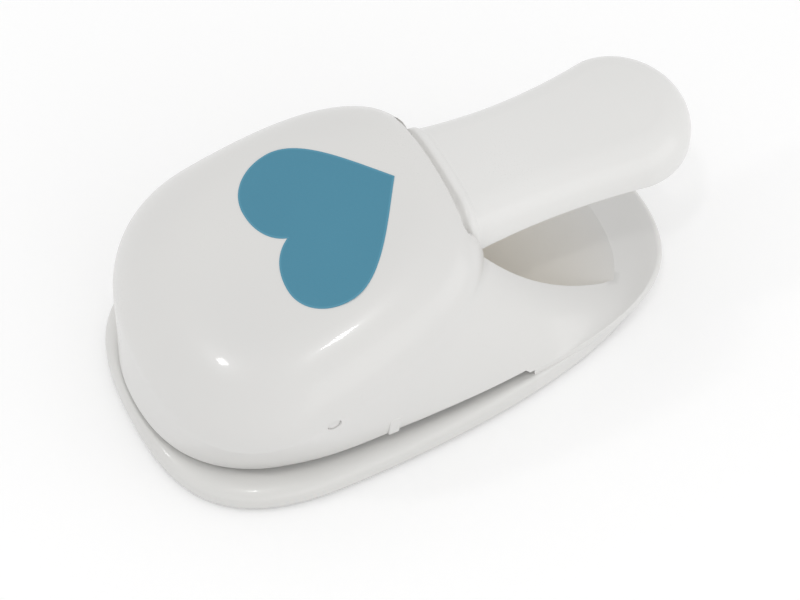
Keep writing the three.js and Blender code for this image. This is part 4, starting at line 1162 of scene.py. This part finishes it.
def grip_ring(distance, setback):
    """The grip's outline drawn in by a distance, starting on its bowed front."""
    outline = inset(grip_side(), distance)
    points_ahead = 2
    right = outline[points_ahead:len(outline) // 2 + 1]
    right[-1, 0] = 0
    front = WELL_FRONT_CORNER + COLLAR_GAP + setback
    starts = front + front_bow(np.minimum(right[:, 0], WELL_HALF_WIDTH))
    first = np.argmax(right[:, 1] > starts)
    corner = np.array([[right[first, 0], starts[first]]])
    path = np.concatenate([corner, right[first:]])
    steps = np.linalg.norm(np.diff(path, axis=0), axis=1)
    run = np.concatenate([[0], np.cumsum(steps)])
    collar_end = GROOVE_WIDTH + COLLAR_WIDTH + COLLAR_GAP
    near = np.linspace(0, collar_end, COLLAR_STEPS, endpoint=False)
    far = np.linspace(collar_end, run[-1], GRIP_STEPS)
    stops = np.concatenate([near, far])
    side = np.column_stack([np.interp(stops, run, path[:, axis]) for axis in (0, 1)])
    x = np.linspace(0, side[0, 0], GRIP_FRONT_STEPS, endpoint=False)
    face = np.column_stack([x, front + front_bow(x)])
    return mirrored(np.concatenate([face, side]))


def grip_level(angle, shrink, setback):
    """One level of the rounded upper side. Outside, the collar's groove and ridge bend it."""
    corner = GRIP_CORNER - shrink
    ring = grip_ring(shrink + corner * (1 - math.cos(angle)), setback)
    heights = grip_height(ring[:, 1]) - shrink - corner * (1 - math.sin(angle))
    if shrink:
        return level(ring, heights)
    behind = ring[:, 1] - WELL_FRONT_CORNER - COLLAR_GAP - front_bow(ring[:, 0])
    proud = ridge(behind)
    outward = np.sign(ring[:, 0]) * proud * math.cos(angle)
    return np.column_stack([ring[:, 0] + outward, ring[:, 1], heights + proud * math.sin(angle)])


def grip_top_rings(last, crown):
    """Close the flat of the top towards the middle line with a crown that fades to its ends."""
    rings = []
    fullness = (last[:, 0] / last[:, 0].max()) ** 2
    for share in GRIP_TOP_SHARES:
        ring = last * [share, 1, 1]
        ring[:, 2] += crown * (1 - share * share) * fullness
        rings.append(ring)
    return rings


def build_grip():
    angles = np.linspace(0, math.pi / 2, GRIP_CORNER_STEPS + 1)
    inside = [grip_level(angle, GRIP_WALL, GRIP_WALL) for angle in angles[::GRIP_INSIDE_STRIDE]]
    inside.append(inside[-1] * [GRIP_CEILING_SHARE, 1, 1])
    inside = inside[::-1]
    wall = inside[-1]
    outside = [grip_level(angle, 0, 0) for angle in angles]
    side = outside[0]

    def low_ring(ring, towards, share, lift):
        drawn = ring + (towards - ring) * share
        drawn[:, 2] = GRIP_BOTTOM + lift
        return drawn

    lip_share = GRIP_LIP / GRIP_WALL
    bend_share = lip_share * LIP_BEND_SHARE
    bend_lift = GRIP_LIP * LIP_BEND_SHARE
    lip = [
        low_ring(wall, side, 0, GRIP_LIP),
        low_ring(wall, side, bend_share, bend_lift),
        low_ring(wall, side, lip_share, 0),
        low_ring(side, wall, lip_share, 0),
        low_ring(side, wall, bend_share, bend_lift),
        low_ring(side, wall, 0, GRIP_LIP),
    ]
    rings = inside + lip + outside + grip_top_rings(outside[-1], GRIP_CROWN)
    grip = skin("lever_handle", rings, LEVER_LIT_WHITE)
    mouth = ARM_HALF_WIDTH + GAP
    mouth_rear = WELL_FRONT_CORNER + WELL_FRONT_BOW + GRIP_WALL
    cut(grip, block("arm_mouth", (-mouth, 0, 0), (mouth, mouth_rear, ARM_TOP + GAP), INNER_GREY))
    settle(grip, "lever", "casing_plastic", "lever_grip")


# Floor, light and camera


def seen_directly(tree):
    """1 where the camera, a reflection or a clear piece looks straight at a surface."""
    path = tree.nodes.new("ShaderNodeLightPath")
    camera = Socket(tree, path.outputs["Is Camera Ray"])
    glossy = Socket(tree, path.outputs["Is Glossy Ray"])
    clear = Socket(tree, path.outputs["Is Transmission Ray"])
    return ramp(camera + glossy + clear, 0.0, 1.0)


def build_floor():
    """A white floor that keeps the object's shadow and shows a little lighter where it is seen."""
    fixed = {"Roughness": FLOOR_ROUGHNESS, "Base Color": FLOOR_COLOUR}
    finish, shader, _ = new_finish("floor_white", fixed)
    tree = finish.node_tree
    glow = tree.nodes.new("ShaderNodeEmission")
    join(seen_directly(tree) * FLOOR_LIFT, glow.inputs["Strength"])
    both = tree.nodes.new("ShaderNodeAddShader")
    tree.links.new(shader.outputs[0], both.inputs[0])
    tree.links.new(glow.outputs[0], both.inputs[1])
    tree.links.new(both.outputs[0], tree.nodes["Material Output"].inputs["Surface"])
    bpy.ops.object.select_all(action="DESELECT")
    bpy.ops.mesh.primitive_plane_add(size=FLOOR_SIDE)
    floor = keep_new("floor", finish)


def build_world():
    world = bpy.data.worlds.new("studio")
    bpy.context.scene.world = world
    world.use_nodes = True
    backdrop = world.node_tree.nodes["Background"]
    backdrop.inputs["Color"].default_value = WORLD_COLOUR
    seen = seen_directly(world.node_tree)
    join(WORLD_LEVEL + seen * (BACKGROUND_LEVEL - WORLD_LEVEL), backdrop.inputs["Strength"])


def stand(name, data, right, back, location):
    """Put a lamp or a camera in its place; it looks away from its back."""
    holder = bpy.data.objects.new(name, data)
    bpy.context.scene.collection.objects.link(holder)
    up = np.cross(back, right)
    turned = Matrix(np.column_stack([right, up, back]).tolist()).to_4x4()
    turned.translation = location
    holder.matrix_world = turned
    return holder


def add_softbox(name, location, target, side, watts):
    lamp = bpy.data.lights.new(name, "AREA")
    lamp.shape = "SQUARE"
    lamp.size = side
    lamp.energy = watts
    away = np.subtract(location, target)
    back = away / np.linalg.norm(away)
    upward = (0.0, 0.0, 1.0)
    right = np.cross(upward, back)
    stand(name, lamp, right / np.linalg.norm(right), back, location)


def build_camera():
    camera = bpy.data.cameras.new("camera")
    camera.sensor_width = CAMERA_SENSOR
    camera.lens = CAMERA_LENS
    camera.shift_x, camera.shift_y = CAMERA_SHIFT
    camera.clip_end = CAMERA_FAR_LIMIT
    bpy.context.scene.camera = stand("camera", camera, CAMERA_RIGHT, CAMERA_BACK, CAMERA_PLACE)


def finish_frame_nodes():
    """Every solid that stays in view gets the finish of its slot."""
    for row in frame["record"]["subparts"]:
        node = frame["nodes"][row["node"]]
        node.data.materials.clear()
        node.data.materials.append(SLOT_FINISHES[row["material_slot"]])


bpy.ops.object.select_all(action="DESELECT")
finish_frame_nodes()
build_casing()
build_jaw()
build_marks()
build_plugs()
build_heart()
build_grip()
build_floor()
build_world()
for name, softbox in SOFTBOXES.items():
    add_softbox(name, **softbox)
build_camera()
bpy.context.scene.view_settings.view_transform = "Standard"
